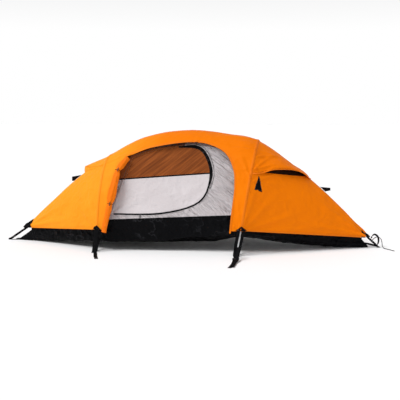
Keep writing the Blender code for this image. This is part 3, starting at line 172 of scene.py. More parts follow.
def wall_point(x, z, side, out):
    """A point on the inner tent's slanted wall, moved out square to it."""
    return np.array((x, side * wall_half(z), z)) + wall_normal(side) * out


def near_wall(pairs, out):
    """Points on the wall with the door at each (x, z)."""
    return np.array([wall_point(x, z, -1.0, out) for x, z in pairs])


def tub_top(x):
    """Half width and height of the tub's upper edge at x."""
    low_z, high_z = 0.217, 0.262
    if x < INNER_FOOT_X:
        share = (INNER_FOOT_X - x) / (INNER_FOOT_X - TUB_ENDS[0])
        return mix(wall_half(low_z), 0.026, share), mix(low_z, 0.094, share)
    if x > INNER_HEAD_X:
        share = (x - INNER_HEAD_X) / (TUB_ENDS[1] - INNER_HEAD_X)
        return mix(wall_half(high_z), 0.026, share), mix(high_z, 0.070, share)
    z = mix(low_z, high_z, (x - INNER_FOOT_X) / (INNER_HEAD_X - INNER_FOOT_X))
    return wall_half(z), z


def tub_side(x):
    """Half widths and heights of the tub's section at x, from the upper edge down to the belly."""
    half, top = tub_top(x)
    lift = curve_through([(TUB_ENDS[0], 0.008), (FOOT_HOOP_X, 0.060), (-0.2008, 0.058),
                          (HEAD_HOOP_X, 0.112), (TUB_ENDS[1], 0.008)], x)
    belly = max(0.0, curve_through([(TUB_ENDS[0], 0.0), (-0.25, 0.0), (0.09, 0.0),
                                    (HEAD_HOOP_X, 0.026), (mix(HEAD_HOOP_X, TUB_ENDS[1], 0.6), 0.0),
                                    (TUB_ENDS[1], 0.0)], x))
    edge = half - 0.014 * half / WALL_HALF
    return [(half, top), (mix(edge, half, 0.5), mix(lift, top, 0.5)), (edge, lift),
            (edge * 0.78, mix(belly, lift, 0.42)), (edge * 0.34, belly)]


# Materials

def shader_of(name, colour, rough, metal=0.0):
    """A new material, its node tree and its Principled shader."""
    made = bpy.data.materials.new(name)
    made.use_nodes = True
    tree = made.node_tree
    shader = tree.nodes["Principled BSDF"]
    shader.inputs["Base Color"].default_value = (*colour, 1.0)
    shader.inputs["Roughness"].default_value = rough
    shader.inputs["Metallic"].default_value = metal
    return made, tree, shader


def node(tree, kind, **values):
    """A new shader node. A name that starts with in_ sets an input, any other a property."""
    made = tree.nodes.new(kind)
    for key, value in values.items():
        if key.startswith("in_"):
            made.inputs[key[3:].replace("_", " ")].default_value = value
        else:
            setattr(made, key, value)
    return made


def object_place(tree, scale=(1, 1, 1), turn=(0, 0, 0), kind="POINT"):
    """Object coordinates, scaled and turned."""
    coords = node(tree, "ShaderNodeTexCoord")
    mapping = node(tree, "ShaderNodeMapping", vector_type=kind, in_Scale=scale, in_Rotation=turn)
    tree.links.new(coords.outputs["Object"], mapping.inputs["Vector"])
    return mapping.outputs["Vector"]


def noise_value(tree, place, scale, detail, rough=0.55):
    made = node(tree, "ShaderNodeTexNoise", in_Scale=scale, in_Detail=detail, in_Roughness=rough)
    tree.links.new(place, made.inputs["Vector"])
    return made.outputs["Fac"]


def ramp(tree, value, low, high, start, end):
    made = node(tree, "ShaderNodeValToRGB")
    made.color_ramp.elements[0].position = start
    made.color_ramp.elements[1].position = end
    made.color_ramp.elements[0].color = (*low, 1)
    made.color_ramp.elements[1].color = (*high, 1)
    tree.links.new(value, made.inputs["Fac"])
    return made.outputs["Color"]


def maths(tree, kind, a, b):
    """One operation on two numbers or sockets."""
    made = node(tree, "ShaderNodeMath", operation=kind)
    for index, value in enumerate((a, b)):
        if isinstance(value, (int, float)):
            made.inputs[index].default_value = value
        else:
            tree.links.new(value, made.inputs[index])
    return made.outputs[0]


def bump(tree, shader, height, distance, strength):
    made = node(tree, "ShaderNodeBump", in_Distance=distance, in_Strength=strength)
    tree.links.new(height, made.inputs["Height"])
    tree.links.new(made.outputs["Normal"], shader.inputs["Normal"])


# The wave texture's scale that gives one wave a metre, and how deep and strong a weave is
WAVE_SCALE = 0.31416
WEAVE_DEPTH, WEAVE_STRENGTH = 0.00012, 0.6


def threads(tree, place, pitch, axis):
    """Waves that repeat once every pitch along the axis."""
    made = node(tree, "ShaderNodeTexWave", wave_type="BANDS", bands_direction=axis,
                wave_profile="SIN", in_Scale=WAVE_SCALE / pitch, in_Distortion=0.0)
    tree.links.new(place, made.inputs["Vector"])
    return made.outputs["Fac"]


def off_middle(tree, value):
    """How far a noise value is from its middle: 0 along crease lines."""
    return maths(tree, "ABSOLUTE", maths(tree, "SUBTRACT", value, 0.5), 0.0)


def mixed(tree, factor, tone, shade):
    """The tone, replaced by a fixed shade where the factor is 1."""
    made = node(tree, "ShaderNodeMix", data_type="RGBA", clamp_factor=True)
    tree.links.new(factor, made.inputs["Factor"])
    tree.links.new(tone, made.inputs["A"])
    made.inputs["B"].default_value = (*shade, 1)
    return made.outputs["Result"]


def crumpled(tree, place, shader, height, crumple, scale, pulled, detail):
    """Bumps: fine weave over soft creases that run every way, or along a pulled direction."""
    if pulled is not None:
        lengthwise = object_place(tree, (0.45, 0.45, 0.055), (0, math.radians(pulled), 0), "TEXTURE")
        soft = noise_value(tree, lengthwise, scale * 0.14, 5.0, 0.6)
    else:
        soft = noise_value(tree, place, scale, detail, 0.6)
    first = node(tree, "ShaderNodeBump", in_Distance=crumple, in_Strength=1.0)
    tree.links.new(maths(tree, "MULTIPLY", off_middle(tree, soft), -2.0), first.inputs["Height"])
    second = node(tree, "ShaderNodeBump", in_Distance=WEAVE_DEPTH, in_Strength=WEAVE_STRENGTH)
    tree.links.new(height, second.inputs["Height"])
    tree.links.new(first.outputs["Normal"], second.inputs["Normal"])
    tree.links.new(second.outputs["Normal"], shader.inputs["Normal"])


def fabric(name, dark, light, rough, weave, ripstop=0.0, gloss=0.2, patch=2.2, crumple=0.0, crease=9.0,
           lit_foot_end=None, pulled=None, detail=6.0, crease_sheen=None):
    """Woven cloth: soft shade variation, a plain weave and, where asked, a ripstop grid and creases.
    lit_foot_end is a lighter colour that takes over towards the tent's foot end: painted light.
    crease_sheen is the colour of short crease lines painted lighter: painted highlights on the creases."""
    made, tree, shader = shader_of(name, light, rough)
    place = object_place(tree)
    broad = noise_value(tree, place, patch, 4.0)
    tone = ramp(tree, broad, dark, light, 0.25, 0.75)
    # Painted light: the colour turns lighter towards the foot end.
    if lit_foot_end:
        parts = node(tree, "ShaderNodeSeparateXYZ")
        tree.links.new(place, parts.inputs["Vector"])
        toward = maths(tree, "MULTIPLY", maths(tree, "ADD", parts.outputs["X"], 0.18), -2.8)
        tone = mixed(tree, toward, tone, lit_foot_end)
    # Painted highlights: short crease lines painted lighter, where the tub's creases catch the light.
    if crease_sheen:
        bent = off_middle(tree, noise_value(tree, place, 9.0, 3.0, 0.5))
        line = ramp(tree, bent, (1, 1, 1), (0, 0, 0), 0.001, 0.017)
        kept = ramp(tree, noise_value(tree, place, 5.0, 2.0), (0, 0, 0), (1, 1, 1), 0.48, 0.60)
        tone = mixed(tree, maths(tree, "MULTIPLY", line, kept), tone, crease_sheen)
    tree.links.new(tone, shader.inputs["Base Color"])
    fine = noise_value(tree, place, 900.0, 2.0)
    weft = threads(tree, place, weave, "X")
    warp = threads(tree, place, weave, "Z")
    height = maths(tree, "ADD", maths(tree, "MULTIPLY", weft, 0.5), maths(tree, "MULTIPLY", warp, 0.5))
    height = maths(tree, "ADD", height, maths(tree, "MULTIPLY", fine, 0.6))
    if ripstop:
        for axis in ("X", "Z"):
            line = maths(tree, "GREATER_THAN", threads(tree, place, ripstop, axis), 0.965)
            height = maths(tree, "ADD", height, maths(tree, "MULTIPLY", line, 1.2))
    if crumple:
        crumpled(tree, place, shader, height, crumple, crease, pulled, detail)
    else:
        bump(tree, shader, height, WEAVE_DEPTH, WEAVE_STRENGTH)
    shader.inputs["Specular IOR Level"].default_value = gloss
    return made


# The fly's orange and its trim turn lighter towards the foot end: painted light.
ORANGE = fabric("fly_nylon", (0.83, 0.180, 0.0006), (0.91, 0.208, 0.0008), 0.55, 0.0007, 0.006, gloss=0.045,
                crumple=0.014, crease=5.0, lit_foot_end=(0.95, 0.30, 0.012), detail=2.5)
# A lighter copy of the fly's orange for the foot end: painted light.
ORANGE_PAINTED_LIT = fabric("fly_nylon_painted_lit", (0.90, 0.275, 0.008), (0.96, 0.32, 0.014), 0.55, 0.0007, 0.006,
                      gloss=0.08, crumple=0.018, crease=6.0, detail=3.0)
ORANGE_ROLL = fabric("fly_nylon_inside", (0.90, 0.175, 0.001), (0.97, 0.21, 0.002), 0.55, 0.0007, 0.006,
                     gloss=0.12, crumple=0.010, crease=24.0)
ORANGE_TRIM = fabric("fly_trim", (0.76, 0.165, 0.0015), (0.84, 0.20, 0.002), 0.6, 0.0009, gloss=0.12,
                     lit_foot_end=(0.93, 0.27, 0.008))
# The tub's black, with short crease lines painted lighter: painted highlights.
BLACK = fabric("tub_nylon", (0.0014, 0.0014, 0.0019), (0.0028, 0.0028, 0.0036), 0.48, 0.0007, gloss=0.055,
               crumple=0.030, crease=9.0, detail=2.5, crease_sheen=(0.020, 0.020, 0.023))
GREY = fabric("inner_nylon", (0.60, 0.55, 0.56), (0.70, 0.655, 0.665), 0.7, 0.0006, 0.005, gloss=0.1,
              crumple=0.010, crease=9.0)
# Brown like the insect mesh, painted shade included, so that the binding blends into the net beside it.
BINDING = fabric("hinge_binding", (0.20, 0.055, 0.014), (0.27, 0.076, 0.019), 0.7, 0.0008, gloss=0.1)
GREY_WALL = fabric("inner_wall_nylon", (0.56, 0.515, 0.525), (0.68, 0.635, 0.645), 0.7, 0.0006, 0.005,
                   gloss=0.08, crumple=0.080, crease=5.0, pulled=36, detail=3.0)
PIPING = fabric("inner_piping", (0.055, 0.052, 0.052), (0.09, 0.085, 0.085), 0.6, 0.0008, gloss=0.1)
WEB = fabric("webbing", (0.0024, 0.0024, 0.003), (0.005, 0.005, 0.0058), 0.75, 0.0016, gloss=0.06, patch=30.0)
THREAD_DARK = fabric("thread_dark", (0.02, 0.02, 0.02), (0.04, 0.04, 0.04), 0.6, 0.0006)
THREAD_ORANGE = fabric("thread_orange", (0.62, 0.12, 0.002), (0.72, 0.15, 0.003), 0.6, 0.0006)
THREAD_GREY = fabric("thread_grey", (0.20, 0.19, 0.19), (0.26, 0.25, 0.25), 0.6, 0.0006)
CORD = fabric("braided_cord", (0.003, 0.003, 0.0035), (0.007, 0.007, 0.0075), 0.6, 0.0012, patch=120.0)
ELASTIC = fabric("elastic", (0.55, 0.55, 0.52), (0.75, 0.75, 0.72), 0.7, 0.0008, patch=40.0)


def net_material(name, deep, dark, light):
    """Fine insect mesh, brown with the fly's orange behind it: painted shade, the shaded inside of the fly
    seen through it. Its colour is streaked darker and lighter along its folds: painted shade and light on the
    folds.
    """
    made, tree, shader = shader_of(name, light, 0.8)
    place = object_place(tree)
    # Painted shade and light: the colour streaks darker and lighter along the mesh's folds.
    streak = object_place(tree, (0.14, 0.14, 0.008), (0, math.radians(-38), 0), "TEXTURE")
    folds = noise_value(tree, streak, 0.55, 4.0, 0.6)
    tone = ramp(tree, folds, dark, light, 0.34, 0.66)
    shader.inputs["Specular IOR Level"].default_value = 0.08
    holes = maths(tree, "MULTIPLY", threads(tree, place, 0.0016, "X"), threads(tree, place, 0.0016, "Z"))
    net = maths(tree, "GREATER_THAN", holes, 0.42)
    tint = node(tree, "ShaderNodeMix", data_type="RGBA", blend_type="MULTIPLY")
    tint.inputs["Factor"].default_value = 0.35
    tree.links.new(tone, tint.inputs["A"])
    tree.links.new(ramp(tree, net, (1, 1, 1), deep, 0.4, 0.6), tint.inputs["B"])
    tree.links.new(tint.outputs["Result"], shader.inputs["Base Color"])
    bump(tree, shader, maths(tree, "SUBTRACT", 1.0, holes), 0.0003, 0.5)
    return made


def hard_material(name, dark, light, rough, metal, scale, grain=(1, 1, 1)):
    """Moulded or drawn hard stock: slight colour and gloss variation and a fine grain."""
    made, tree, shader = shader_of(name, light, rough, metal)
    place = object_place(tree, grain)
    broad = noise_value(tree, place, scale, 4.0)
    tree.links.new(ramp(tree, broad, dark, light, 0.3, 0.7), shader.inputs["Base Color"])
    spread = 0.12
    gloss = maths(tree, "ADD", maths(tree, "MULTIPLY", broad, spread), rough - spread / 2)
    tree.links.new(gloss, shader.inputs["Roughness"])
    fine = noise_value(tree, place, scale * 12, 3.0)
    bump(tree, shader, fine, 0.00005, 0.6)
    return made


NET = net_material("insect_mesh", (0.35, 0.30, 0.28), (0.160, 0.041, 0.010), (0.330, 0.090, 0.020))
# Near black: painted shadow under the vent hoods.
VENT_NET_SHADOWED = net_material("vent_mesh", (0.35, 0.30, 0.28), (0.010, 0.004, 0.002), (0.030, 0.010, 0.004))
PLASTIC = hard_material("moulded_plastic", (0.010, 0.010, 0.011), (0.022, 0.022, 0.023), 0.42, 0.0, 60.0)
TUBE = hard_material("pole_tube", (0.50, 0.51, 0.52), (0.66, 0.67, 0.68), 0.34, 0.35, 40.0)
BLACK_METAL = hard_material("black_metal", (0.010, 0.010, 0.011), (0.020, 0.020, 0.022), 0.38, 0.6, 60.0)
METAL = hard_material("satin_aluminium", (0.58, 0.58, 0.60), (0.78, 0.78, 0.80), 0.32, 1.0, 90.0, (1, 1, 0.2))


# Mesh building

def add_mesh(name, verts, faces, surface, smooth=True, sharp=40):
    mesh = bpy.data.meshes.new(name)
    mesh.from_pydata([tuple(v) for v in verts], [], faces)
    mesh.validate()
    thing = bpy.data.objects.new(name, mesh)
    SCENE.collection.objects.link(thing)
    mesh.materials.append(surface)
    if smooth:
        mesh.shade_smooth()
        mesh.set_sharp_from_angle(angle=math.radians(sharp))
    return thing


def grid_faces(rows, cols, wrap=False):
    """Quads between a grid's points. With wrap each row closes on itself."""
    made = []
    for r in range(rows - 1):
        for c in range(cols if wrap else cols - 1):
            d = (c + 1) % cols
            a = r * cols
            made.append((a + c, a + d, a + cols + d, a + cols + c))
    return made


def closed_faces(count, around):
    """Faces of a run of rings, closed at both ends."""
    last = (count - 1) * around
    caps = [tuple(range(around))[::-1], tuple(range(last, last + around))]
    return grid_faces(count, around, wrap=True) + caps


def facing(points, index, normal):
    """Faces of a grid of points, turned so that the face at the index looks along the normal."""
    flat = points.reshape(-1, 3)
    faces = grid_faces(*points.shape[:2])
    a, b, c = (flat[k] for k in faces[index][:3])
    if np.cross(b - a, c - b).dot(normal) < 0:
        faces = [f[::-1] for f in faces]
    return faces


def unit(rows):
    """Each row made one long."""
    return rows / np.linalg.norm(rows, axis=-1, keepdims=True)


def tangents(line):
    return unit(np.gradient(line, axis=0))


def at_marks(marks, known, values):
    """Values at the marks between those at the known places."""
    return np.stack([np.interp(marks, known, values[:, k]) for k in range(values.shape[1])], -1)


def walked_along(line):
    """How far along the line each of its points lies."""
    return np.concatenate([[0], np.cumsum(np.linalg.norm(np.diff(line, axis=0), axis=1))])


def normals_of(points):
    """Unit normals of a grid of points."""
    along = np.gradient(points, axis=0)
    across = np.gradient(points, axis=1)
    made = np.cross(along, across)
    size = np.linalg.norm(made, axis=2, keepdims=True)
    return made / np.maximum(size, 1e-12)


def outward(points):
    """Grid normals turned to point away from the tent's long axis."""
    made = normals_of(points)
    centre = np.array((0.0, 0.0, 0.15))
    away = (points - centre) * np.array((0.0, 1.0, 1.0))
    if (made * away).sum() < 0:
        made = -made
    return made


def noise_at(points, scale, seed):
    """Smooth noise at each point, the same in every run."""
    shift = Vector((seed * 7.31, seed * 3.17, seed * 5.03))
    flat = np.asarray(points).reshape(-1, 3)
    return np.array([noise.noise(Vector(p) * scale + shift) for p in flat]).reshape(
        np.asarray(points).shape[:-1])


def fold(points, start, end, width, height):
    """A tension fold from start to end: full near start, fading to nothing at the end."""
    start, end = np.array(start, float), np.array(end, float)
    along = end - start
    length = np.linalg.norm(along)
    along = along / length
    offset = points - start
    t = np.clip((offset @ along) / length, 0, 1)
    near = start + t[..., None] * (end - start)
    far = np.linalg.norm(points - near, axis=-1)
    wide = width * (0.45 + 0.9 * t)
    profile = np.exp(-(far / wide) ** 2)
    rim = np.exp(-((far - 1.7 * wide) / wide) ** 2) * 0.35
    return height * (profile - rim) * (1 - t) ** 0.6 * np.minimum(1, (offset @ along) / 0.01 + 1).clip(0, 1)


def shell(name, points, surface, thick):
    """A thin closed cloth: the outer face is the grid, the inner one lies thick behind it."""
    thing = add_mesh(name, points.reshape(-1, 3), grid_faces(*points.shape[:2]), surface)
    return thicken(thing, thick)


def thicken(thing, thick):
    """Gives one layer its thickness, inward."""
    part = thing.modifiers.new("cloth", "SOLIDIFY")
    part.thickness = thick
    part.offset = -1.0
    part.use_even_offset = False
    return bake(thing)


def bake(thing):
    """Applies the modifiers to the mesh."""
    bpy.context.view_layer.update()
    graph = bpy.context.evaluated_depsgraph_get()
    made = bpy.data.meshes.new_from_object(thing.evaluated_get(graph))
    thing.modifiers.clear()
    old = thing.data
    thing.data = made
    bpy.data.meshes.remove(old)
    return thing


def ribbon(name, path, width, thick, across, surface, step=0.004):
    """Flat webbing along a path with rounded selvedges. across is one direction or one a point."""
    line = evenly(path, step)
    count = len(line)
    tangent = tangents(line)
    side = np.array(across, float)
    if side.ndim == 1:
        side = np.tile(side, (count, 1))
    elif len(side) != count:
        side = at_marks(np.linspace(0, 1, count), np.linspace(0, 1, len(side)), side)
    side = unit(side - tangent * (side * tangent).sum(1, keepdims=True))
    up = np.cross(tangent, side)
    half, rise = width / 2, thick / 2
    ring = [(-half, 0), (-half * 0.94, rise * 0.8), (-half * 0.8, rise), (0, rise), (half * 0.8, rise),
            (half * 0.94, rise * 0.8), (half, 0), (half * 0.94, -rise * 0.8), (half * 0.8, -rise),
            (0, -rise), (-half * 0.8, -rise), (-half * 0.94, -rise * 0.8)]
    n = len(ring)
    verts = np.concatenate([line + side * a + up * b for a, b in ring]).reshape(n, count, 3)
    verts = verts.transpose(1, 0, 2).reshape(-1, 3)
    return add_mesh(name, verts, closed_faces(count, n), surface)


def tube(name, path, radius, surface, sides, step):
    """A round cord or piping along a path. radius is one number or one a point."""
    line = evenly(path, step)
    count = len(line)
    tangent = tangents(line)
    side = np.cross(tangent[0], (0.3, 0.2, 0.93))
    side /= np.linalg.norm(side)
    rings = []
    radius = np.broadcast_to(radius, (count,)) if np.ndim(radius) == 0 else np.interp(
        np.linspace(0, 1, count), np.linspace(0, 1, len(radius)), radius)
    for point, along, size in zip(line, tangent, radius):
        side = side - along * side.dot(along)
        side /= np.linalg.norm(side)
        other = np.cross(along, side)
        turns = np.arange(sides) * 2 * math.pi / sides
        rings.append(point + size * (np.cos(turns)[:, None] * side + np.sin(turns)[:, None] * other))
    return add_mesh(name, np.concatenate(rings), closed_faces(count, sides), surface)


def dashes(name, lines, surface, length=0.0028, gap=0.0018):
    """Rows of stitches. Each line is (points, normals), along the cloth's outer face."""
    wide, high = 0.0007, 0.0005
    verts, faces = [], []
    for points, normals in lines:
        points = np.array(points, float)
        normals = np.array(normals, float)
        if normals.ndim == 1:
            normals = np.tile(normals, (len(points), 1))
        walked = walked_along(points)
        mark = gap
        while mark + length < walked[-1]:
            ends = [at_marks(place, walked, points) for place in (mark, mark + length)]
            up = at_marks(mark, walked, normals)
            up /= np.linalg.norm(up)
            along = ends[1] - ends[0]
            along /= np.linalg.norm(along)
            side = np.cross(up, along) * wide / 2
            base = len(verts)
            middle = (ends[0] + ends[1]) / 2
            low = -up * high * 0.4
            for point, rise in ((ends[0], 0.0), (middle, high), (ends[1], 0.0)):
                verts += [point + side + low, point - side + low,
                          point - side * 0.7 + up * rise, point + side * 0.7 + up * rise]
            for k in (0, 4):
                for c in range(4):
                    d = (c + 1) % 4
                    faces.append((base + k + c, base + k + 4 + c, base + k + 4 + d, base + k + d))
            faces.append((base, base + 1, base + 2, base + 3))
            faces.append((base + 11, base + 10, base + 9, base + 8))
            mark += length + gap
    return add_mesh(name, verts, faces, surface, smooth=False)


# Fly sheet

HALF_PI = math.pi / 2
PANEL_TOP = {"foot": -0.001, "head": 0.008}
BRIM = {"foot": 0.001, "head": -0.005}
# Each side panel ends this far from the ridge line, and each panel this share of its length from a hoop
RIDGE_GAP, HOOP_GAP = 0.0005, 0.0006
# The hoods' brims are sewn this far under the cut
BRIM_DROP = 0.004
# How thick seam bands and corner patches are
TRIM, PATCH = 0.0007, 0.0009
HOOP_X = {"foot": (FOOT_HOOP_X, FOOT_HOOP_TOP_X, 0.150, 0.652),
          "head": (HEAD_HOOP_X, HEAD_HOOP_TOP_X, 0.168, 0.762)}
FLY_FOLDS = [
    # start, end, width, height
    ((0.39, -0.42, 0.17), (0.62, -0.30, 0.40), 0.0200, 0.0085),
    ((0.39, -0.42, 0.17), (0.80, -0.24, 0.28), 0.0175, 0.0073),
    ((0.39, -0.42, 0.17), (0.95, -0.17, 0.16), 0.0150, 0.0061),
    ((0.39, -0.42, 0.17), (0.50, -0.36, 0.50), 0.0175, 0.0069),
    ((1.25, -0.04, 0.09), (0.72, -0.26, 0.22), 0.0200, 0.0081),
    ((1.25, -0.04, 0.09), (0.78, -0.16, 0.42), 0.0225, 0.0081),
    ((1.25, 0.00, 0.10), (0.86, -0.05, 0.47), 0.0200, 0.0073),
    ((0.46, -0.34, 0.50), (0.66, -0.20, 0.55), 0.0150, 0.0081),
    ((0.46, -0.34, 0.50), (0.72, -0.22, 0.46), 0.0163, 0.0069),
    ((0.44, -0.38, 0.42), (0.60, -0.32, 0.30), 0.0137, 0.0053),
    ((0.48, -0.20, 0.72), (0.62, -0.10, 0.66), 0.0175, 0.0061),
    ((-1.245, -0.04, 0.11), (-0.80, -0.27, 0.22), 0.0200, 0.0085),
    ((-1.245, -0.04, 0.11), (-0.74, -0.22, 0.40), 0.0225, 0.0089),
    ((-1.245, 0.00, 0.12), (-0.84, -0.09, 0.47), 0.0200, 0.0081),
    ((-0.63, -0.37, 0.16), (-0.84, -0.22, 0.36), 0.0200, 0.0081),
    ((-0.63, -0.37, 0.16), (-0.72, -0.24, 0.50), 0.0175, 0.0069),
    ((-0.62, -0.26, 0.56), (-0.78, -0.14, 0.50), 0.0163, 0.0073),
    ((-0.60, -0.10, 0.64), (-0.40, -0.22, 0.64), 0.0187, 0.0073),
    ((-0.60, -0.22, 0.60), (-0.36, -0.24, 0.70), 0.0150, 0.0069),
    ((-0.43, -0.24, 0.655), (-0.20, -0.12, 0.79), 0.0175, 0.0073),
    ((0.39, -0.42, 0.18), (0.34, -0.38, 0.44), 0.0125, 0.0061),
    ((0.48, -0.05, 0.76), (0.20, -0.10, 0.80), 0.0225, 0.0065),
    ((0.47, -0.22, 0.70), (0.24, -0.24, 0.72), 0.0175, 0.0069),
    ((0.45, -0.33, 0.58), (0.33, -0.32, 0.58), 0.0125, 0.0053),
    ((0.05, -0.18, 0.746), (0.10, -0.02, 0.83), 0.0200, 0.0053),
    ((0.375, -0.41, 0.19), (0.405, -0.36, 0.60), 0.0110, 0.0090),
    ((0.338, -0.40, 0.19), (0.365, -0.36, 0.56), 0.0100, 0.0080),
    ((0.44, -0.35, 0.52), (0.36, -0.28, 0.68), 0.0140, 0.0070),
    ((0.47, -0.30, 0.58), (0.60, -0.12, 0.67), 0.0150, 0.0080),
    ((0.47, -0.30, 0.58), (0.68, -0.18, 0.57), 0.0150, 0.0075),
    ((0.48, -0.24, 0.66), (0.66, -0.06, 0.65), 0.0150, 0.0070),
    ((-0.62, -0.34, 0.30), (-0.60, -0.28, 0.56), 0.0140, 0.0070),
    ((-0.56, -0.36, 0.16), (-0.55, -0.31, 0.46), 0.0130, 0.0065),
]


def hoop_x(part, z):
    """Where the hoop is at a height."""
    base, top, hem, ridge = HOOP_X[part]
    return base + (top - base) * (z - hem) / (ridge - hem)


def fly_wave(points):
    """How far the taut fly stands off its drawn surface: folds, soft waves and the poles' ridges."""
    mirrored = points * np.array((1, -1, 1))
    made = 0.0016 * noise_at(points, 5.0, 1) + 0.0009 * noise_at(points, 14.0, 2)
    for index, (start, end, width, height) in enumerate(FLY_FOLDS):
        made = made + fold(points, start, end, width, height)
        if index % 4 != 3:
            made = made + fold(mirrored, start, end, width * 1.1, height * 0.9)
    for part in ("foot", "head"):
        off = points[..., 0] - hoop_x(part, points[..., 2])
        made = made + 0.0022 * np.exp(-(off / 0.017) ** 2) - 0.0008
    return np.clip(made, -0.0030, 0.0096)


def on_fly(point):
    """The point moved in depth onto the near panel if it lies between the hoops."""
    x, z = point[0], point[2]
    between = hoop_x("foot", z) < x < hoop_x("head", z)
    return tuple(fly_place(x, z)) if between and z < 0.75 else point


FLY_FOLDS = [(on_fly(start), on_fly(end), width, height) for start, end, width, height in FLY_FOLDS]


def raised(points, height):
    """The grid moved outward by a height at each point."""
    return points + outward(points) * height[..., None]


def fly_skin(part, shares, angles):
    """The dressed fly's outer face over the drawn surface."""
    points = fly_grid(part, shares, angles)
    return raised(points, fly_wave(points))


def fly_at(pairs, out):
    """Points and normals of the dressed door side of the fly at each (x, z)."""
    places = np.array([fly_place(x, z) for x, z in pairs])
    step = 0.004
    across = np.array([fly_place(x + step, z) for x, z in pairs]) - places
    up = np.array([fly_place(x, z + step) for x, z in pairs]) - places
    normals = unit(np.cross(across, up))
    normals *= -np.sign(normals[:, 1:2])
    return places + normals * (fly_wave(places) + out)[:, None], normals


def cut_by(thing, point, normal):
    """Removes what lies on the side that the normal points to."""
    work = bmesh.new()
    work.from_mesh(thing.data)
    bmesh.ops.bisect_plane(work, geom=work.verts[:] + work.edges[:] + work.faces[:], dist=0.00001,
                           plane_co=point, plane_no=normal, clear_outer=True)
    work.to_mesh(thing.data)
    work.free()


def cut_plane(part, shift):
    """A point and the normal of the plane where the vent is cut out, moved up by shift."""
    x, z, rise = CUTS[part]
    return (x, 0.0, z + shift), Vector((rise, 0, 1)).normalized()


def hood_lift(part, points):
    """The fly's points lifted to the vent hood: the foot's in the middle, the head's to both sides of it."""
    lift, half, _ = HOOD[part]
    out = np.abs(points[..., 0] - hoop_x(part, points[..., 2])) / abs(CUTS[part][0] - HOOP_X[part][1])
    off = np.abs(points[..., 1]) / half
    made = points.copy()
    if part == "head":
        lens = np.sin(math.pi * np.clip((off - 0.12) / 0.88, 0, 1))
        reach = np.clip(out * (1.45 + 1.6 * off), 0, 1) ** (2.4 - 1.7 * np.minimum(1.0, off))
        point, level = cut_plane(part, 0.0)
        above = (points - np.array(point)) @ np.array(level)
        reach = reach * np.clip(1 - above / 0.15, 0, 1) ** 1.5
        amount = lift * lens * reach + 0.003 * np.minimum(1.0, out)
        made[..., 0] += amount * 0.15
    else:
        amount = lift * np.minimum(1.0, out) ** 1.3 * mix(0.2, 1.0, np.maximum(0.0, 1.0 - off ** 2))
    made[..., 2] += amount
    return made


def open_shell(name, points, surface, thick=None):
    """A cloth whose outer face points away from the tent. It stays one layer if thick isn't given."""
    rows, cols = points.shape[:2]
    faces = facing(points, (rows - 1) * (cols - 1) // 2, outward(points)[rows // 2, cols // 2])
    thing = add_mesh(name, points.reshape(-1, 3), faces, surface, sharp=60)
    return thicken(thing, thick) if thick else thing


def prism(outline):
    """A solid with the (x, z) outline that reaches through the tent's door side."""
    low_y, high_y = -0.60, -0.05
    mesh = bpy.data.meshes.new("cutter")
    work = bmesh.new()
    face = work.faces.new([work.verts.new((p[0], low_y, p[1])) for p in outline])
    for item in bmesh.ops.extrude_face_region(work, geom=[face])["geom"]:
        if isinstance(item, bmesh.types.BMVert):
            item.co.y = high_y
    bmesh.ops.recalc_face_normals(work, faces=work.faces[:])
    work.to_mesh(mesh)
    work.free()
    thing = bpy.data.objects.new("cutter", mesh)
    SCENE.collection.objects.link(thing)
    return thing


def carve(thing, operation, outline):
    """Cuts the outline out of the cloth (DIFFERENCE) or keeps only what lies in it (INTERSECT)."""
    cutter = prism(outline)
    change = thing.modifiers.new("cut", "BOOLEAN")
    change.object = cutter
    change.operation = operation
    change.solver = "EXACT"
    bake(thing)
    bpy.data.objects.remove(cutter)
    thing.data.shade_smooth()
    thing.data.set_sharp_from_angle(angle=math.radians(60))


def dress(thing, body="tent", nodes=()):
    """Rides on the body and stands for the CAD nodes."""
    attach(thing, body)
    if nodes:
        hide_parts(*nodes)
    return thing


def dress_sheet(thing, node, body="tent"):
    """Rides on the body and stands for the CAD node."""
    dress(thing, body, [node])


DOOR_RING = [tuple(p) for p in spline_points(FLY_DOOR, 10)] + \
    [tuple(p) for p in spline_points(FLY_DOOR_LEFT, 8)[1:]]


def build_fly():
    shares = np.linspace(HOOP_GAP, 1 - HOOP_GAP, 150)
    for side, angles, sign in (("near", np.linspace(0, HALF_PI, 110), -1),
                               ("far", np.linspace(HALF_PI, math.pi, 90), 1)):
        points = fly_skin("mid", shares, angles)
        points[..., 1] = np.where(sign * points[..., 1] < RIDGE_GAP, sign * RIDGE_GAP, points[..., 1])
        thing = open_shell(f"fly_{side}_cloth", points, ORANGE, CLOTH)
        if side == "near":
            carve(thing, "DIFFERENCE", DOOR_RING)
        dress_sheet(thing, f"fly_{side}_panel")
    for part, rows, surface, flat in (("foot", 100, ORANGE_PAINTED_LIT, (0.82, 1.30)),
                                      ("head", 130, ORANGE, (1.03, 1.60))):
        points = fly_skin(part, np.linspace(HOOP_GAP, 1, rows), np.linspace(0, math.pi, 170))
        thing = open_shell(f"fly_{part}_cloth", points, surface)
        cut_by(thing, *cut_plane(part, PANEL_TOP[part]))
        thicken(thing, CLOTH)
        dress_sheet(thing, f"fly_{part}_panel")


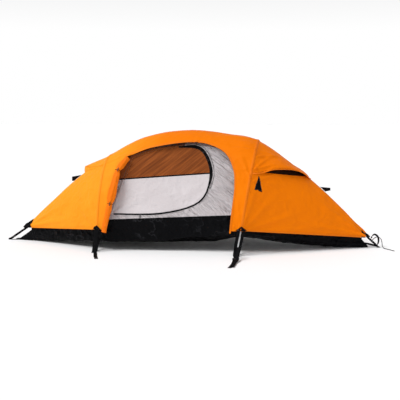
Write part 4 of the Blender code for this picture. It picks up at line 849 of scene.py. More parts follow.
def build_vents():
    """The hood over each vent, cut off below its brim, and the net under it."""
    for part, surface, hood_flat, net_flat in (("foot", ORANGE_PAINTED_LIT, (0.23, 0.50), (0.14, 0.60)),
                                               ("head", ORANGE, (0.46, 0.90), (0.14, 0.95))):
        points = fly_skin(part, np.linspace(HOOP_GAP, 0.7, 110), np.linspace(0, math.pi, 190))
        thing = open_shell(f"{part}_vent_cloth", hood_lift(part, points), surface)
        point, normal = cut_plane(part, BRIM[part])
        work = bmesh.new()
        work.from_mesh(thing.data)
        base = points.reshape(-1, 3)
        level = Vector(normal)
        drop = [v for v, p in zip(work.verts, base) if (Vector(p) - Vector(point)).dot(level) < -BRIM_DROP]
        bmesh.ops.delete(work, geom=drop, context="VERTS")
        work.to_mesh(thing.data)
        work.free()
        thicken(thing, CLOTH)
        dress_sheet(thing, f"{part}_vent_hood")
        build_brim(part)
        net = fly_grid(part, np.linspace(0.002, 0.75, 70), np.linspace(0, math.pi, 130), 0.0036)
        cloth = open_shell(f"{part}_vent_net", net - outward(net) * 0.0004, VENT_NET_SHADOWED)
        cut_by(cloth, *cut_plane(part, 0.036))
        low, level = cut_plane(part, -0.030)
        cut_by(cloth, low, -level)
        thicken(cloth, 0.0005)
        dress_sheet(cloth, f"{part}_vent_mesh")


def build_skirt():
    """The foot hood's stiff front, which hangs from the brim and closes the vent to the rain."""
    line = cut_line("foot", BRIM["foot"] - BRIM_DROP)
    lifted = hood_lift("foot", line) + np.array((-0.001, 0, 0.0004))
    middle = (1 - (lifted[:, 1] / 0.19) ** 2).clip(0, 1)
    drop = np.maximum(0.0, lifted[:, 2] - line[:, 2] + 0.008 + 0.010 * middle)
    rows = []
    for t in np.linspace(0, 1, 14):
        bow = 0.004 * math.sin(math.pi * t)
        still = np.zeros(len(drop))
        rows.append(lifted + np.stack([still - bow - 0.002 * t, still, -drop * t], 1))
    rows = np.array(rows)
    rows = rows + np.array((-1.0, 0, 0)) * (0.0014 * noise_at(rows, 20.0, 31))[..., None]
    dress(shell("foot_vent_front", rows, ORANGE_PAINTED_LIT, TRIM))


def cut_line(part, shift):
    """Where the vent's plane, moved up by shift, meets the fly: points from near to far."""
    x, z, rise = CUTS[part]
    made = []
    for angle in np.linspace(0.02, math.pi - 0.02, 150):
        angle = np.array([angle])

        def above(share):
            p = fly_grid(part, [share], angle)[0, 0]
            return rise * (p[0] - x) + p[2] - z - shift

        low, high = HOOP_GAP, 0.98
        if above(low) <= 0:
            continue
        for attempt in range(22):
            share = (low + high) / 2
            if above(share) > 0:
                low = share
            else:
                high = share
        made.append(fly_grid(part, [low], angle)[0, 0])
    return np.array(made)


def build_brim(part):
    """The stiffened hem along the hood's free edge."""
    line = cut_line(part, BRIM[part] - BRIM_DROP)
    up = unit(np.stack([line[:, 0] * 0, line[:, 1] * 1.4, line[:, 2] - 0.1], 1))
    base = line + up * (fly_wave(line) + 0.0006)[:, None]
    lifted = hood_lift(part, base)
    across = unit(np.cross(up, tangents(lifted)))
    across *= np.sign((across * np.array((HOOD[part][2], 0, -0.6))).sum(1, keepdims=True))
    rows = [lifted + across * d + up * h for d, h in
            ((-0.013, 0.0), (-0.0125, 0.0007), (-0.006, 0.0008), (0.0, 0.0009), (0.0022, 0.0002),
             (0.0022, -0.0012), (0.0, -0.0016))]
    dress(shell(f"{part}_vent_brim", np.array(rows), ORANGE_TRIM, TRIM))
    dress(dashes(f"{part}_brim_stitches", [(lifted - across * 0.0105 + up * 0.0008, up),
                                           (lifted - across * 0.002 + up * 0.0009, up)], THREAD_ORANGE))


def build_seams():
    """Flat felled seams over both hoops and along the ridge, with two rows of stitches."""
    mid_length = 1.05
    angles = np.linspace(0.0, math.pi, 230)
    for part, length in (("foot", 0.63), ("head", 0.82)):
        rows = []
        for offset in (-0.009, -0.0085, -0.004, 0.0, 0.004, 0.0085, 0.009):
            if offset <= 0:
                share = -offset / mid_length
                source = fly_skin("mid", [share if part == "foot" else 1 - share, 0.5], angles)
            else:
                source = fly_skin(part, [offset / length, 0.5], angles)
            rows.append(source[0])
        rows = np.array(rows)
        rise = np.array((0.0002, 0.0009, 0.0012, 0.0016, 0.0012, 0.0009, 0.0002))
        up = outward(rows)
        band = rows + up * rise[:, None, None]
        dress(open_shell(f"{part}_hoop_seam", band, ORANGE_TRIM, TRIM))
        lines = [(rows[k] + up[k] * 0.0014, up[k]) for k in (2, 4)]
        dress(dashes(f"{part}_hoop_stitches", lines, THREAD_ORANGE))
    shares = np.linspace(0.004, 0.996, 200)
    centre = fly_skin("mid", shares, np.array([HALF_PI - 0.004, HALF_PI, HALF_PI + 0.004]))
    rows = np.array([centre[:, 1] + np.array((0, offset, 0))
                     for offset in (-0.008, -0.0075, -0.0035, 0.0, 0.0035, 0.0075, 0.008)])
    rows[:, :, 2] += np.array((0.0001, 0.0008, 0.0010, 0.0013, 0.0010, 0.0008, 0.0001))[:, None]
    dress(open_shell("ridge_seam", rows, ORANGE_TRIM, TRIM))
    dress(dashes("ridge_stitches", [(rows[k] + np.array((0, 0, 0.0003)), np.array((0, 0, 1.0)))
                                    for k in (2, 4)], THREAD_ORANGE))


def hem_point(part, side, share, height):
    """The fly's point on one side at a share along the part and a height over its hem."""
    base, top, half, hem, power = fly_station(part, share)
    rise = height / (ridge_z(top) - hem)
    angle = math.asin(min(1.0, rise ** (power / 2)))
    return fly_grid(part, [share], np.array([angle if side == "near" else math.pi - angle]))[0, 0]


def build_hems():
    """Turned hems along the fly's lower edge, with one row of stitches."""
    for part, shares in (("foot", np.linspace(0.001, 1, 90)), ("mid", np.linspace(0.001, 0.999, 130)),
                         ("head", np.linspace(0.001, 1, 110))):
        for side in ("far",) if part == "mid" else ("near", "far"):
            rows = np.array([[hem_point(part, side, share, height) for share in shares]
                             for height in (0.0, 0.004, 0.011, 0.0118)])
            up = outward(rows)
            lift = fly_wave(rows) + np.array((0.0006, 0.0009, 0.0009, 0.0001))[:, None]
            rows = rows + up * lift[..., None]
            dress(open_shell(f"fly_{part}_{side}_hem", rows, ORANGE_TRIM, 0.0016))
            dress(dashes(f"fly_{part}_{side}_hem_stitches", [(rows[2] + up[2] * 0.0002, up[2])],
                         THREAD_ORANGE))


# Tub floor

TUB_FOLDS = [
    ((-0.62, -0.32, 0.06), (-0.30, -0.30, 0.17), 0.016, 0.0060),
    ((-0.62, -0.32, 0.06), (-0.40, -0.31, 0.10), 0.012, 0.0050),
    ((-0.62, -0.32, 0.06), (-0.82, -0.22, 0.12), 0.016, 0.0055),
    ((-0.62, -0.32, 0.06), (-0.56, -0.32, 0.21), 0.014, 0.0050),
    ((0.37, -0.33, 0.11), (0.12, -0.32, 0.19), 0.016, 0.0060),
    ((0.37, -0.33, 0.11), (0.10, -0.30, 0.09), 0.016, 0.0055),
    ((0.37, -0.33, 0.11), (0.24, -0.32, 0.25), 0.013, 0.0050),
    ((0.37, -0.33, 0.11), (0.62, -0.25, 0.10), 0.016, 0.0055),
    ((0.37, -0.33, 0.11), (0.72, -0.22, 0.17), 0.014, 0.0045),
    ((-1.22, -0.03, 0.03), (-0.80, -0.20, 0.09), 0.016, 0.0060),
    ((-1.22, -0.03, 0.05), (-0.90, -0.17, 0.13), 0.013, 0.0050),
    ((1.22, -0.03, 0.03), (0.80, -0.17, 0.06), 0.016, 0.0060),
    ((1.22, -0.03, 0.04), (0.86, -0.17, 0.12), 0.014, 0.0050),
    ((-0.20, -0.31, 0.20), (-0.02, -0.30, 0.08), 0.016, 0.0050),
    ((-0.02, -0.31, 0.21), (-0.16, -0.29, 0.06), 0.014, 0.0045),
]


def tub_wave(points):
    """Creases and slack of the loose black tub; it stays flat where it lies on the ground."""
    mirrored = points * np.array((1, -1, 1))
    crease = 1.0 - np.abs(noise_at(points * np.array((0.7, 1.0, 1.4)), 11.0, 5)) * 3.0
    made = 0.0040 * noise_at(points, 6.0, 3) + 0.0050 * np.clip(crease, 0, 1) ** 2
    made = made + 0.0016 * noise_at(points, 24.0, 4)
    for start, end, width, height in TUB_FOLDS:
        made = made + fold(points, start, end, width, height)
        made = made + fold(mirrored, start, end, width * 1.1, height)
    hang = np.clip(points[..., 2] / 0.03, 0, 1)
    return np.clip(made, -0.006, 0.0075) * (0.12 + 0.88 * hang)


def hump(x, height, centre, reach, power=2):
    """How high something lifts the tub at x: most at the centre, nothing well past the reach."""
    return height * math.exp(-((x - centre) / reach) ** power)


def tub_ring(x):
    """The tub's section at x. The straps and the inner tent lift it off the ground in places."""
    doorway_lift, hoop_lift, hoop_at = 0.048, 0.038, 0.40
    side = tub_side(x)
    doorway = hump(x, doorway_lift, -0.12, 0.46, 4)
    if x < hoop_at:
        slung = hump(x, hoop_lift, hoop_at, 0.15)
    else:
        slung = hoop_lift * max(0.0, 1 - (x - hoop_at) / 0.80) ** 1.2
    hung = hump(x, 0.026, 0.04, 0.36)
    drawn_up = hump(x, 0.023, -0.70, 0.30)
    side[2] = (side[2][0], side[2][1] + hung * 0.9)
    side[3] = (side[3][0], side[3][1] + doorway + slung * 0.8 + hung * 0.4 + drawn_up)
    side[4] = (side[4][0] * mix(1.0, 0.45, doorway / doorway_lift), side[4][1] + slung + hung + drawn_up)
    near = [(-y, z) for y, z in side]
    far = [(y, z) for y, z in reversed(side)]
    line = spline_points(near, 7) + [(0.0, side[-1][1])] + spline_points(far, 7)
    return np.array([(x, y, z) for y, z in line])


def build_tub():
    places = np.concatenate([np.linspace(TUB_ENDS[0], INNER_FOOT_X, 70)[:-1],
                             np.linspace(INNER_FOOT_X, INNER_HEAD_X, 120),
                             np.linspace(INNER_HEAD_X, TUB_ENDS[1], 90)[1:]])
    points = np.array([tub_ring(x) for x in places])
    points[..., 2] = np.maximum(points[..., 2], 0.0)
    up = normals_of(points)
    away = (points - np.array((0, 0, 0.2))) * np.array((0, 1, 1))
    up *= np.sign((up * away).sum())
    edge = np.ones(points.shape[1])
    edge[:3] = (0.15, 0.4, 0.8)
    edge[-3:] = (0.8, 0.4, 0.15)
    points = points + up * (tub_wave(points) * edge[None, :])[..., None]
    points[..., 2] = np.maximum(points[..., 2], 0.0004)
    points[..., 2] -= points[..., 2].min()
    middle = (points.shape[0] - 1) * (points.shape[1] - 1) // 2
    corner = grid_faces(*points.shape[:2])[middle][0]
    faces = facing(points, middle, up.reshape(-1, 3)[corner])
    thing = add_mesh("tub_cloth", points.reshape(-1, 3), faces, BLACK, sharp=70)
    thicken(thing, CLOTH)
    dress_sheet(thing, "tub_floor")
    for name, col in (("near", 0), ("far", -1)):
        line = points[:, col] + np.array((0, 0, 0.0004))
        dress(tube(f"tub_{name}_edge_binding", line, 0.0022, BLACK, 8, 0.006))


# Inner tent

INNER_FOLDS = [
    ((0.30, -0.33, 0.27), (0.10, -0.27, 0.66), 0.0119, 0.0140),
    ((0.30, -0.33, 0.27), (0.17, -0.27, 0.60), 0.0102, 0.0124),
    ((0.31, -0.33, 0.28), (0.24, -0.27, 0.58), 0.0102, 0.0119),
    ((0.32, -0.33, 0.27), (0.13, -0.31, 0.40), 0.0093, 0.0108),
    ((0.32, -0.33, 0.27), (0.10, -0.33, 0.32), 0.0085, 0.0092),
    ((0.04, -0.27, 0.735), (0.30, -0.29, 0.50), 0.0110, 0.0119),
    ((0.10, -0.26, 0.72), (0.28, -0.30, 0.42), 0.0102, 0.0103),
    ((0.18, -0.26, 0.70), (0.30, -0.29, 0.56), 0.0093, 0.0097),
    ((0.16, -0.28, 0.50), (0.32, -0.31, 0.40), 0.0102, 0.0097),
    ((0.09, -0.31, 0.34), (0.30, -0.29, 0.48), 0.0102, 0.0092),
    ((-0.52, -0.33, 0.25), (-0.10, -0.33, 0.25), 0.0068, 0.0070),
    ((0.20, -0.32, 0.25), (-0.16, -0.33, 0.255), 0.0068, 0.0070),
    ((0.31, -0.33, 0.30), (0.20, -0.27, 0.66), 0.0080, 0.0108),
    ((0.32, -0.33, 0.32), (0.29, -0.27, 0.62), 0.0080, 0.0095),
    ((0.32, -0.33, 0.30), (0.17, -0.30, 0.48), 0.0080, 0.0108),
    ((0.15, -0.27, 0.60), (0.32, -0.30, 0.44), 0.0080, 0.0095),
    ((0.14, -0.26, 0.66), (0.32, -0.29, 0.52), 0.0080, 0.0095),
]
MESH_FOLDS = [
    ((-0.42, -0.27, 0.42), (-0.10, -0.22, 0.69), 0.014, 0.0040),
    ((-0.34, -0.27, 0.42), (-0.02, -0.20, 0.71), 0.013, 0.0042),
    ((-0.25, -0.26, 0.45), (0.06, -0.20, 0.70), 0.014, 0.0042),
    ((-0.14, -0.26, 0.48), (0.11, -0.20, 0.66), 0.013, 0.0040),
    ((-0.02, -0.26, 0.50), (0.14, -0.20, 0.61), 0.012, 0.0036),
    ((0.08, -0.26, 0.70), (-0.20, -0.26, 0.50), 0.016, 0.0034),
    ((-0.44, -0.27, 0.50), (-0.28, -0.22, 0.68), 0.012, 0.0036),
]
LEAF_FOLDS = [
    ((-0.50, -0.33, 0.27), (-0.20, -0.28, 0.46), 0.030, 0.0046),
    ((0.08, -0.30, 0.36), (-0.22, -0.27, 0.48), 0.028, 0.0042),
    ((-0.40, -0.30, 0.44), (-0.14, -0.32, 0.30), 0.026, 0.0036),
    ((0.13, -0.27, 0.50), (-0.06, -0.30, 0.36), 0.024, 0.0034),
    ((-0.30, -0.28, 0.47), (-0.30, -0.32, 0.28), 0.022, 0.0026),
    ((-0.10, -0.28, 0.48), (-0.04, -0.32, 0.32), 0.022, 0.0026),
]


def slack(points, folds, seed, broad, fine, limit):
    """How far loose cloth stands off its plane: broad and fine waves and its folds."""
    made = broad * noise_at(points, 7.0, seed) + fine * noise_at(points, 22.0, seed + 1)
    for start, end, width, height in folds:
        made = made + fold(points, start, end, width, height)
    return np.clip(made, -limit, limit)


# The roof's ridge hangs this far below the fly's, the roof is this high, and its seams gape this much
ROOF_DROP, ROOF_HEIGHT, SEAM_GAP = 0.046, 0.058, 0.0009


def roof_arch(u):
    """Height of the roof's section, from 1 at the ridge to 0 at u = -1 and 1."""
    return 1 - np.abs(u) ** 1.8


def wall_frame(x):
    """Height of the wall's lower and upper edge at x."""
    return tub_top(x)[1] + SEAM_GAP, ridge_z(x) - ROOF_DROP - ROOF_HEIGHT - SEAM_GAP


DOOR_SHAPE = [tuple(p) for p in spline_points(DOOR, 5)]


def offset_ring(ring, amount):
    """Moves a counter-clockwise (x, z) ring outward."""
    ring = np.array(ring)
    before = ring - np.roll(ring, 1, axis=0)
    after = np.roll(ring, -1, axis=0) - ring
    before, after = unit(before), unit(after)
    normal = unit(np.stack([before[:, 1] + after[:, 1], -before[:, 0] - after[:, 0]], 1))
    scale = 1.0 / np.maximum(0.5, (normal * np.stack([before[:, 1], -before[:, 0]], 1)).sum(1))
    return [tuple(p) for p in ring + normal * (amount * scale)[:, None]]


def wall_sheet(name, low_high, xs, rows, surface, side, slack_of):
    """A cloth on the slanted wall plane between two heights at each x."""
    points = np.array([[wall_point(x, mix(*low_high(x), t), side, 0.0) for t in np.linspace(0, 1, rows)]
                       for x in xs])
    points = points + wall_normal(side) * slack_of(points)[..., None]
    faces = facing(points, 0, wall_normal(side))
    return thicken(add_mesh(name, points.reshape(-1, 3), faces, surface, sharp=60), CLOTH)


def ring_guard(points, ring, width):
    """0 on the ring's line and 1 further away than the width, so that seams stay put."""
    ring = np.array(ring + [ring[0]])
    flat = points.reshape(-1, 3)[:, [0, 2]]
    best = np.full(len(flat), 9.0)
    for a, b in zip(ring, ring[1:]):
        span = b - a
        t = np.clip(((flat - a) @ span) / (span @ span), 0, 1)
        best = np.minimum(best, np.linalg.norm(flat - a - t[:, None] * span, axis=1))
    return np.clip(best / width, 0, 1).reshape(points.shape[:-1])


def band_line(x):
    """Height of the seam between the door's net and its fabric."""
    return DOOR_BAND[0] + DOOR_BAND[1] * (x - DOOR[0][0])


# The wall beside the door and the roof over it are net up to this x
NET_END_X = -0.03
DOOR_HOLE = offset_ring(DOOR_SHAPE, 0.0007)


def paint(thing, surface, chosen):
    """A second surface on the faces whose middles are chosen."""
    thing.data.materials.append(surface)
    index = len(thing.data.materials) - 1
    for face in thing.data.polygons:
        if chosen(face.center):
            face.material_index = index


def build_walls():
    """The near wall with its door hole, the far wall and the roof."""
    xs = np.linspace(INNER_FOOT_X, INNER_HEAD_X, 170)

    def near_slack(points):
        held = ring_guard(points, DOOR_SHAPE, 0.026)
        frames = np.array([wall_frame(x) for x in points[:, 0, 0]])
        lows, highs = frames[:, :1], frames[:, 1:]
        edge = np.clip(np.minimum(points[..., 2] - lows, highs - points[..., 2]) / 0.02, 0, 1)
        return slack(points, INNER_FOLDS, 11, 0.0040, 0.0018, 0.0125) * held * edge - 0.0002

    near = wall_sheet("inner_near_cloth", wall_frame, xs, 110, GREY_WALL, -1.0, near_slack)
    paint(near, NET, lambda p: p.x < NET_END_X and p.z > band_line(p.x) and p.y < 0)
    carve(near, "DIFFERENCE", DOOR_HOLE)
    dress_sheet(near, "inner_near_wall")
    far = wall_sheet("inner_far_cloth", wall_frame, xs[::2], 60, GREY, 1.0,
                     lambda p: slack(p, [], 15, 0.0024, 0.0010, 0.004))
    dress_sheet(far, "inner_far_wall")
    u = np.linspace(-1, 1, 70)
    rows = []
    for x in np.linspace(INNER_FOOT_X, INNER_HEAD_X, 90):
        shoulder = ridge_z(x) - ROOF_DROP - ROOF_HEIGHT
        rows.append(np.stack([u * 0 + x, u * wall_half(shoulder), shoulder + ROOF_HEIGHT * roof_arch(u)], 1))
    rows = np.array(rows)
    held = np.clip((1 - np.abs(u)) / 0.1, 0, 1)
    rows = raised(rows, 0.0022 * noise_at(rows, 8.0, 17) * held[None, :])
    thing = open_shell("inner_roof_cloth", rows, GREY, CLOTH)
    paint(thing, NET, lambda p: p.x < NET_END_X and p.y < -0.02)
    dress_sheet(thing, "inner_roof")


def inner_end_ring(x, end_x, start_x, count):
    """The inner tent's section at x, between the wall's end at start_x and the tip at end_x."""
    share = (x - start_x) / (end_x - start_x)
    half, low = tub_top(x)
    ridge = ridge_z(x) - mix(ROOF_DROP, 0.016, share)
    start_half, start_low = tub_top(start_x)
    start_ridge = ridge_z(start_x) - ROOF_DROP
    start_shoulder = start_ridge - ROOF_HEIGHT
    ratio = wall_half(start_shoulder) / start_half
    shoulder_half = half * mix(ratio, 0.60, share)
    shoulder = mix(low, ridge, (start_shoulder - start_low) / (start_ridge - start_low))
    u = np.linspace(-1, 1, count)
    roof = np.stack([u * 0 + x, u * shoulder_half, shoulder + (ridge - shoulder) * roof_arch(u)], 1)
    t = np.linspace(0, 1, count // 2)[:-1, None]
    near = np.array((x, -half, low + SEAM_GAP)) * (1 - t) + roof[0] * t
    far = (np.array((x, half, low + SEAM_GAP)) * (1 - t) + roof[-1] * t)[::-1]
    return np.concatenate([near, roof, far])


def build_inner_ends():
    for name, wall_x, gap, end, flat in (
            ("inner_foot_end", INNER_FOOT_X, -SEAM_GAP, TUB_ENDS[0], (0.80, 1.36)),
            ("inner_head_end", INNER_HEAD_X, SEAM_GAP, TUB_ENDS[1], (1.03, 1.36))):
        rows = np.array([inner_end_ring(x, end, wall_x, 40) for x in np.linspace(wall_x + gap, end, 60)])
        rows = raised(rows, 0.0016 * noise_at(rows, 8.0, 19) - 0.0006)
        thing = open_shell(f"{name}_cloth", rows, GREY, CLOTH)
        dress_sheet(thing, name)


def build_inner_door():
    """The door's net, its leaf and the seam between them, which runs on as a stub on the wall."""
    xs = np.linspace(-0.525, 0.158, 190)

    def above_band(points):
        return points[..., 2] - band_line(points[..., 0])

    def door_slack(points, guard, band_guard, *folds_and_sizes):
        held = ring_guard(points, DOOR_SHAPE, guard)
        band = np.clip(np.abs(above_band(points)) / band_guard, 0, 1)
        return slack(points, *folds_and_sizes) * held * band - 0.0002

    def mesh_slack(points):
        return door_slack(points, 0.020, 0.015, MESH_FOLDS, 23, 0.0022, 0.0007, 0.0046)

    def leaf_slack(points):
        return door_slack(points, 0.030, 0.02, LEAF_FOLDS, 27, 0.0030, 0.0005, 0.0052)

    seam_half, overlap = 0.0046, 0.0049
    net = wall_sheet("door_net", lambda x: (band_line(x) + overlap, 0.728), xs, 90, NET, -1.0, mesh_slack)
    carve(net, "INTERSECT", DOOR_SHAPE)
    dress_sheet(net, "inner_door_mesh", "inner_door")
    leaf = wall_sheet("door_leaf", lambda x: (0.250, band_line(x) - overlap), xs, 90, GREY, -1.0, leaf_slack)
    carve(leaf, "INTERSECT", DOOR_SHAPE)
    dress_sheet(leaf, "inner_door_fabric", "inner_door")
    line = near_wall([(x, band_line(x)) for x in np.linspace(-0.556, -0.452, 20)], 0.0006)
    dress(ribbon("wall_seam", line, 0.009, 0.0012, np.cross(wall_normal(), (1, 0, DOOR_BAND[1])), BLACK))
    seam = wall_sheet("door_seam", lambda x: (band_line(x) - seam_half, band_line(x) + seam_half), xs, 7,
                      BLACK, -1.0, lambda p: 0.0006 - 60 * above_band(p) ** 2)
    carve(seam, "INTERSECT", DOOR_SHAPE)
    dress(seam, "inner_door", ["inner_door_seam"])


# Straps

# The ladder locks' place, the flat run to each side of it, and where the straps touch down and end
LOCK_Y, LOCK_FLAT = 0.560, 0.045
STRAP_FEET = {"foot": (0.412, 0.650), "head": (0.452, 0.830)}
WEB_WIDTH = 0.025


def tack(lines, centre, along, across, up, length, width):
    """A box-cross bar tack: the four sides and two diagonals of a stitched box."""
    a, b = np.array(along) * length / 2, np.array(across) * width / 2
    corners = [centre - a - b, centre + a - b, centre + a + b, centre - a + b]
    for first, second in ((0, 1), (1, 2), (2, 3), (3, 0), (0, 2), (1, 3)):
        lines.append((np.linspace(corners[first], corners[second], 8), np.array(up, float)))


def strap_path(part, sign):
    """The strap's middle line, from the tub's edge down to the hoop's foot and out along the ground, and how
    far its end is swept along x."""
    foot_y, end_y = STRAP_FEET[part]
    x = hoop_x(part, 0.0)
    sides = [tub_side(x + beside)[2] for beside in (-WEB_WIDTH / 2, 0.0, WEB_WIDTH / 2)]
    edge_y, edge_z = max(y for y, z in sides), sides[1][1]
    profile = [(edge_y + 0.0048, edge_z + 0.022), (edge_y + 0.0085, edge_z + 0.004),
               (mix(edge_y, foot_y - 0.024, 0.5), (edge_z + 0.022) / 2), (foot_y - 0.026, 0.0023),
               (foot_y, 0.0010)]
    if part == "head":
        profile += [(foot_y + 0.024, 0.0012), (LOCK_Y - LOCK_FLAT, 0.0043),
                    (LOCK_Y + LOCK_FLAT, 0.0043), (mix(LOCK_Y + LOCK_FLAT, end_y, 0.4), 0.0012)]
        sweep, bend_y = -0.014, LOCK_Y + LOCK_FLAT + 0.030
    else:
        profile += [(foot_y + 0.06, 0.0014), (foot_y + 0.13, 0.0011), (end_y - 0.04, 0.0016)]
        sweep, bend_y = 0.074, foot_y
    profile.append((end_y, 0.0010))
    path = []
    for y, z in spline_points(profile, 6):
        swept = sweep * max(0.0, (y - bend_y) / (end_y - bend_y))
        waved = 0.0022 * math.sin(y * 21 - 1) * min(1, max(0, y - foot_y) * 12)
        path.append((x + swept + waved, sign * y, z))
    return path, sweep


def build_hoop_straps():
    up = np.array((0, 0, 1.0))
    for part, (foot_y, end_y) in STRAP_FEET.items():
        x = hoop_x(part, 0.0)
        for sign, label in ((-1.0, "near"), (1.0, "far")):
            path, sweep = strap_path(part, sign)
            thing = ribbon(f"{part}_{label}_webbing", path, WEB_WIDTH, 0.0018, (1, 0, 0), WEB, step=0.003)
            dress(thing, nodes=[f"{part}_{label}_strap"])
            lines = []
            for y, shift in ((foot_y + 0.020, 0.0), (end_y - 0.014, sweep * 0.9)):
                tack(lines, np.array((x + shift, sign * y, 0.0023)), (0, 1, 0), (1, 0, 0), up, 0.016, 0.018)
            if part == "head":
                build_strap_tail(label, x, sign)
            dress(dashes(f"{part}_{label}_strap_stitches", lines, THREAD_GREY, length=0.0022, gap=0.0012))
            build_hem_tab(part, label, sign)


def build_strap_tail(label, x, sign):
    """The strap's running end: back through the buckle, arched over it and lying beside the strap."""
    start = LOCK_Y - 0.016
    arch = [(0.0, 0.016, 0.0088), (-0.001, -0.010, 0.0150), (0.001, -0.034, 0.0440), (0.010, -0.028, 0.0740),
            (0.020, 0.008, 0.0680), (0.019, 0.034, 0.0450), (0.012, 0.054, 0.0340), (0.021, 0.084, 0.0140),
            (0.012, 0.130, 0.0066), (0.008, 0.180, 0.0048), (0.006, 0.225, 0.0042), (0.004, 0.272, 0.0040)]
    path = spline_points([(x + aside, start + ahead, z) for aside, ahead, z in arch], 7)
    path = [(px, sign * py, pz) for px, py, pz in path]
    dress(ribbon(f"head_{label}_strap_tail", path, 0.022, 0.0015, (1, 0, 0.25), WEB, step=0.003))


def build_hem_tab(part, label, sign):
    """The black corner patch at the fly's hem over a pole's foot, and its webbing down to the strap."""
    spread = 0.034 if part == "foot" else 0.038
    hem = HOOP_X[part][2]
    points = []
    for t in np.linspace(0, 1, 14):
        z = hem + 0.001 + 0.030 * (1 - t)
        wide = spread * (0.05 + 0.95 * t ** 1.1)
        points.append([fly_door_side(part, hoop_x(part, z) + k * wide, z) for k in np.linspace(-1, 1, 15)])
    points = np.array(points)
    points[..., 1] *= -sign
    points = raised(points, fly_wave(points) + 0.0036)
    dress(shell(f"{part}_{label}_hem_patch", points, WEB, 0.0010))
    foot_y = STRAP_FEET[part][0]
    base = hoop_x(part, 0.0)
    hem_y = abs(fly_door_side(part, hoop_x(part, hem), hem + 0.001)[1])
    off = 0.0120 if part == "foot" else 0.0
    wide = 0.019 if part == "head" else 0.031
    lines = []
    for side in (-1.0, 1.0) if part == "head" else (0.0,):
        start_x = hoop_x(part, hem) + side * 0.018
        halfway = mix(start_x, base + side * 0.014, 0.55), sign * (mix(hem_y, foot_y, 0.5) + off), hem * 0.5
        path = [(start_x, sign * (hem_y + 0.0035), hem + 0.012),
                (start_x, sign * (hem_y + 0.0035 + off * 0.5), hem - 0.006),
                halfway,
                (base + side * 0.013, sign * (foot_y + 0.004 + off), 0.012),
                (base + side * 0.011, sign * (foot_y + 0.014 + off), 0.0031),
                (base + side * 0.010, sign * (foot_y + 0.028 + off), 0.0029)]
        path = spline_points(path, 6)
        name = f"{part}_{label}_leg_{'a' if side < 0 else 'b'}"
        dress(ribbon(name, path, wide, 0.0015, (1, 0, 0), WEB, step=0.003))
        tack(lines, np.array(path[1]) + np.array((0, sign * 0.0010, -0.004)), (0, 0, 1), (1, 0, 0),
             (0, sign, 0), 0.010, 0.010)
    dress(dashes(f"{part}_{label}_leg_stitches", lines, THREAD_GREY, length=0.0018, gap=0.0010))


def fly_door_side(part, x, z):
    """The near side of the fly anywhere near a hoop."""
    edge = hoop_x(part, z)
    if (part == "foot") == (x >= edge):
        return fly_place(x, z)
    tip = FOOT_TIP_X if part == "foot" else HEAD_TIP_X
    share = min(1.0, max(0.0, (x - edge) / (tip - edge)))
    base, top, half, hem, power = fly_station(part, share)
    rise = min(1.0, max(0.0, (z - hem) / (ridge_z(top) - hem)))
    return np.array((x, -half * (1.0 - rise**power) ** (1.0 / power), z))


TIP_ENDS = {
    "foot": {"tip_x": FOOT_TIP_X, "sign": -1.0, "hem_z": 0.100, "top_z": 0.126, "reach": 0.165,
             "end_z": 0.0009, "on_edge": ((0.0, 0.40), (0.93, 1.0)), "flat_until": 0.28,
             "anchor": ((0.006, -0.004), (-0.012, -0.010), (-0.036, -0.034)), "anchor_width": 0.030,
             "corner_z": 0.090, "corner_reach": 0.080, "patch_share": 0.945},
    "head": {"tip_x": HEAD_TIP_X, "sign": 1.0, "hem_z": 0.076, "top_z": 0.100, "reach": 0.105,
             "end_z": 0.0300, "on_edge": ((0.06, 0.97),), "flat_until": 0.06,
             "anchor": ((0.004, -0.004), (-0.012, -0.012), (-0.028, -0.026)), "anchor_width": 0.020,
             "corner_z": 0.066, "corner_reach": 0.020, "patch_share": 0.965},
}
# Where along the foot strap its returning layer lies, and how far to the side
FOOT_RETURN = [(0.16, 0.0028), (0.26, 0.0070), (0.36, 0.0145), (0.65, 0.0150), (0.92, 0.0145),
               (0.985, 0.0040)]
HEAD_TIP_TAIL = [(1.2960, 0.0118, 0.064), (1.3010, 0.0112, 0.082), (1.3190, 0.0060, 0.093),
                 (1.3390, 0.0000, 0.080), (1.3450, -0.0060, 0.055), (1.3400, -0.0100, 0.028),
                 (1.3270, -0.0120, 0.009)]


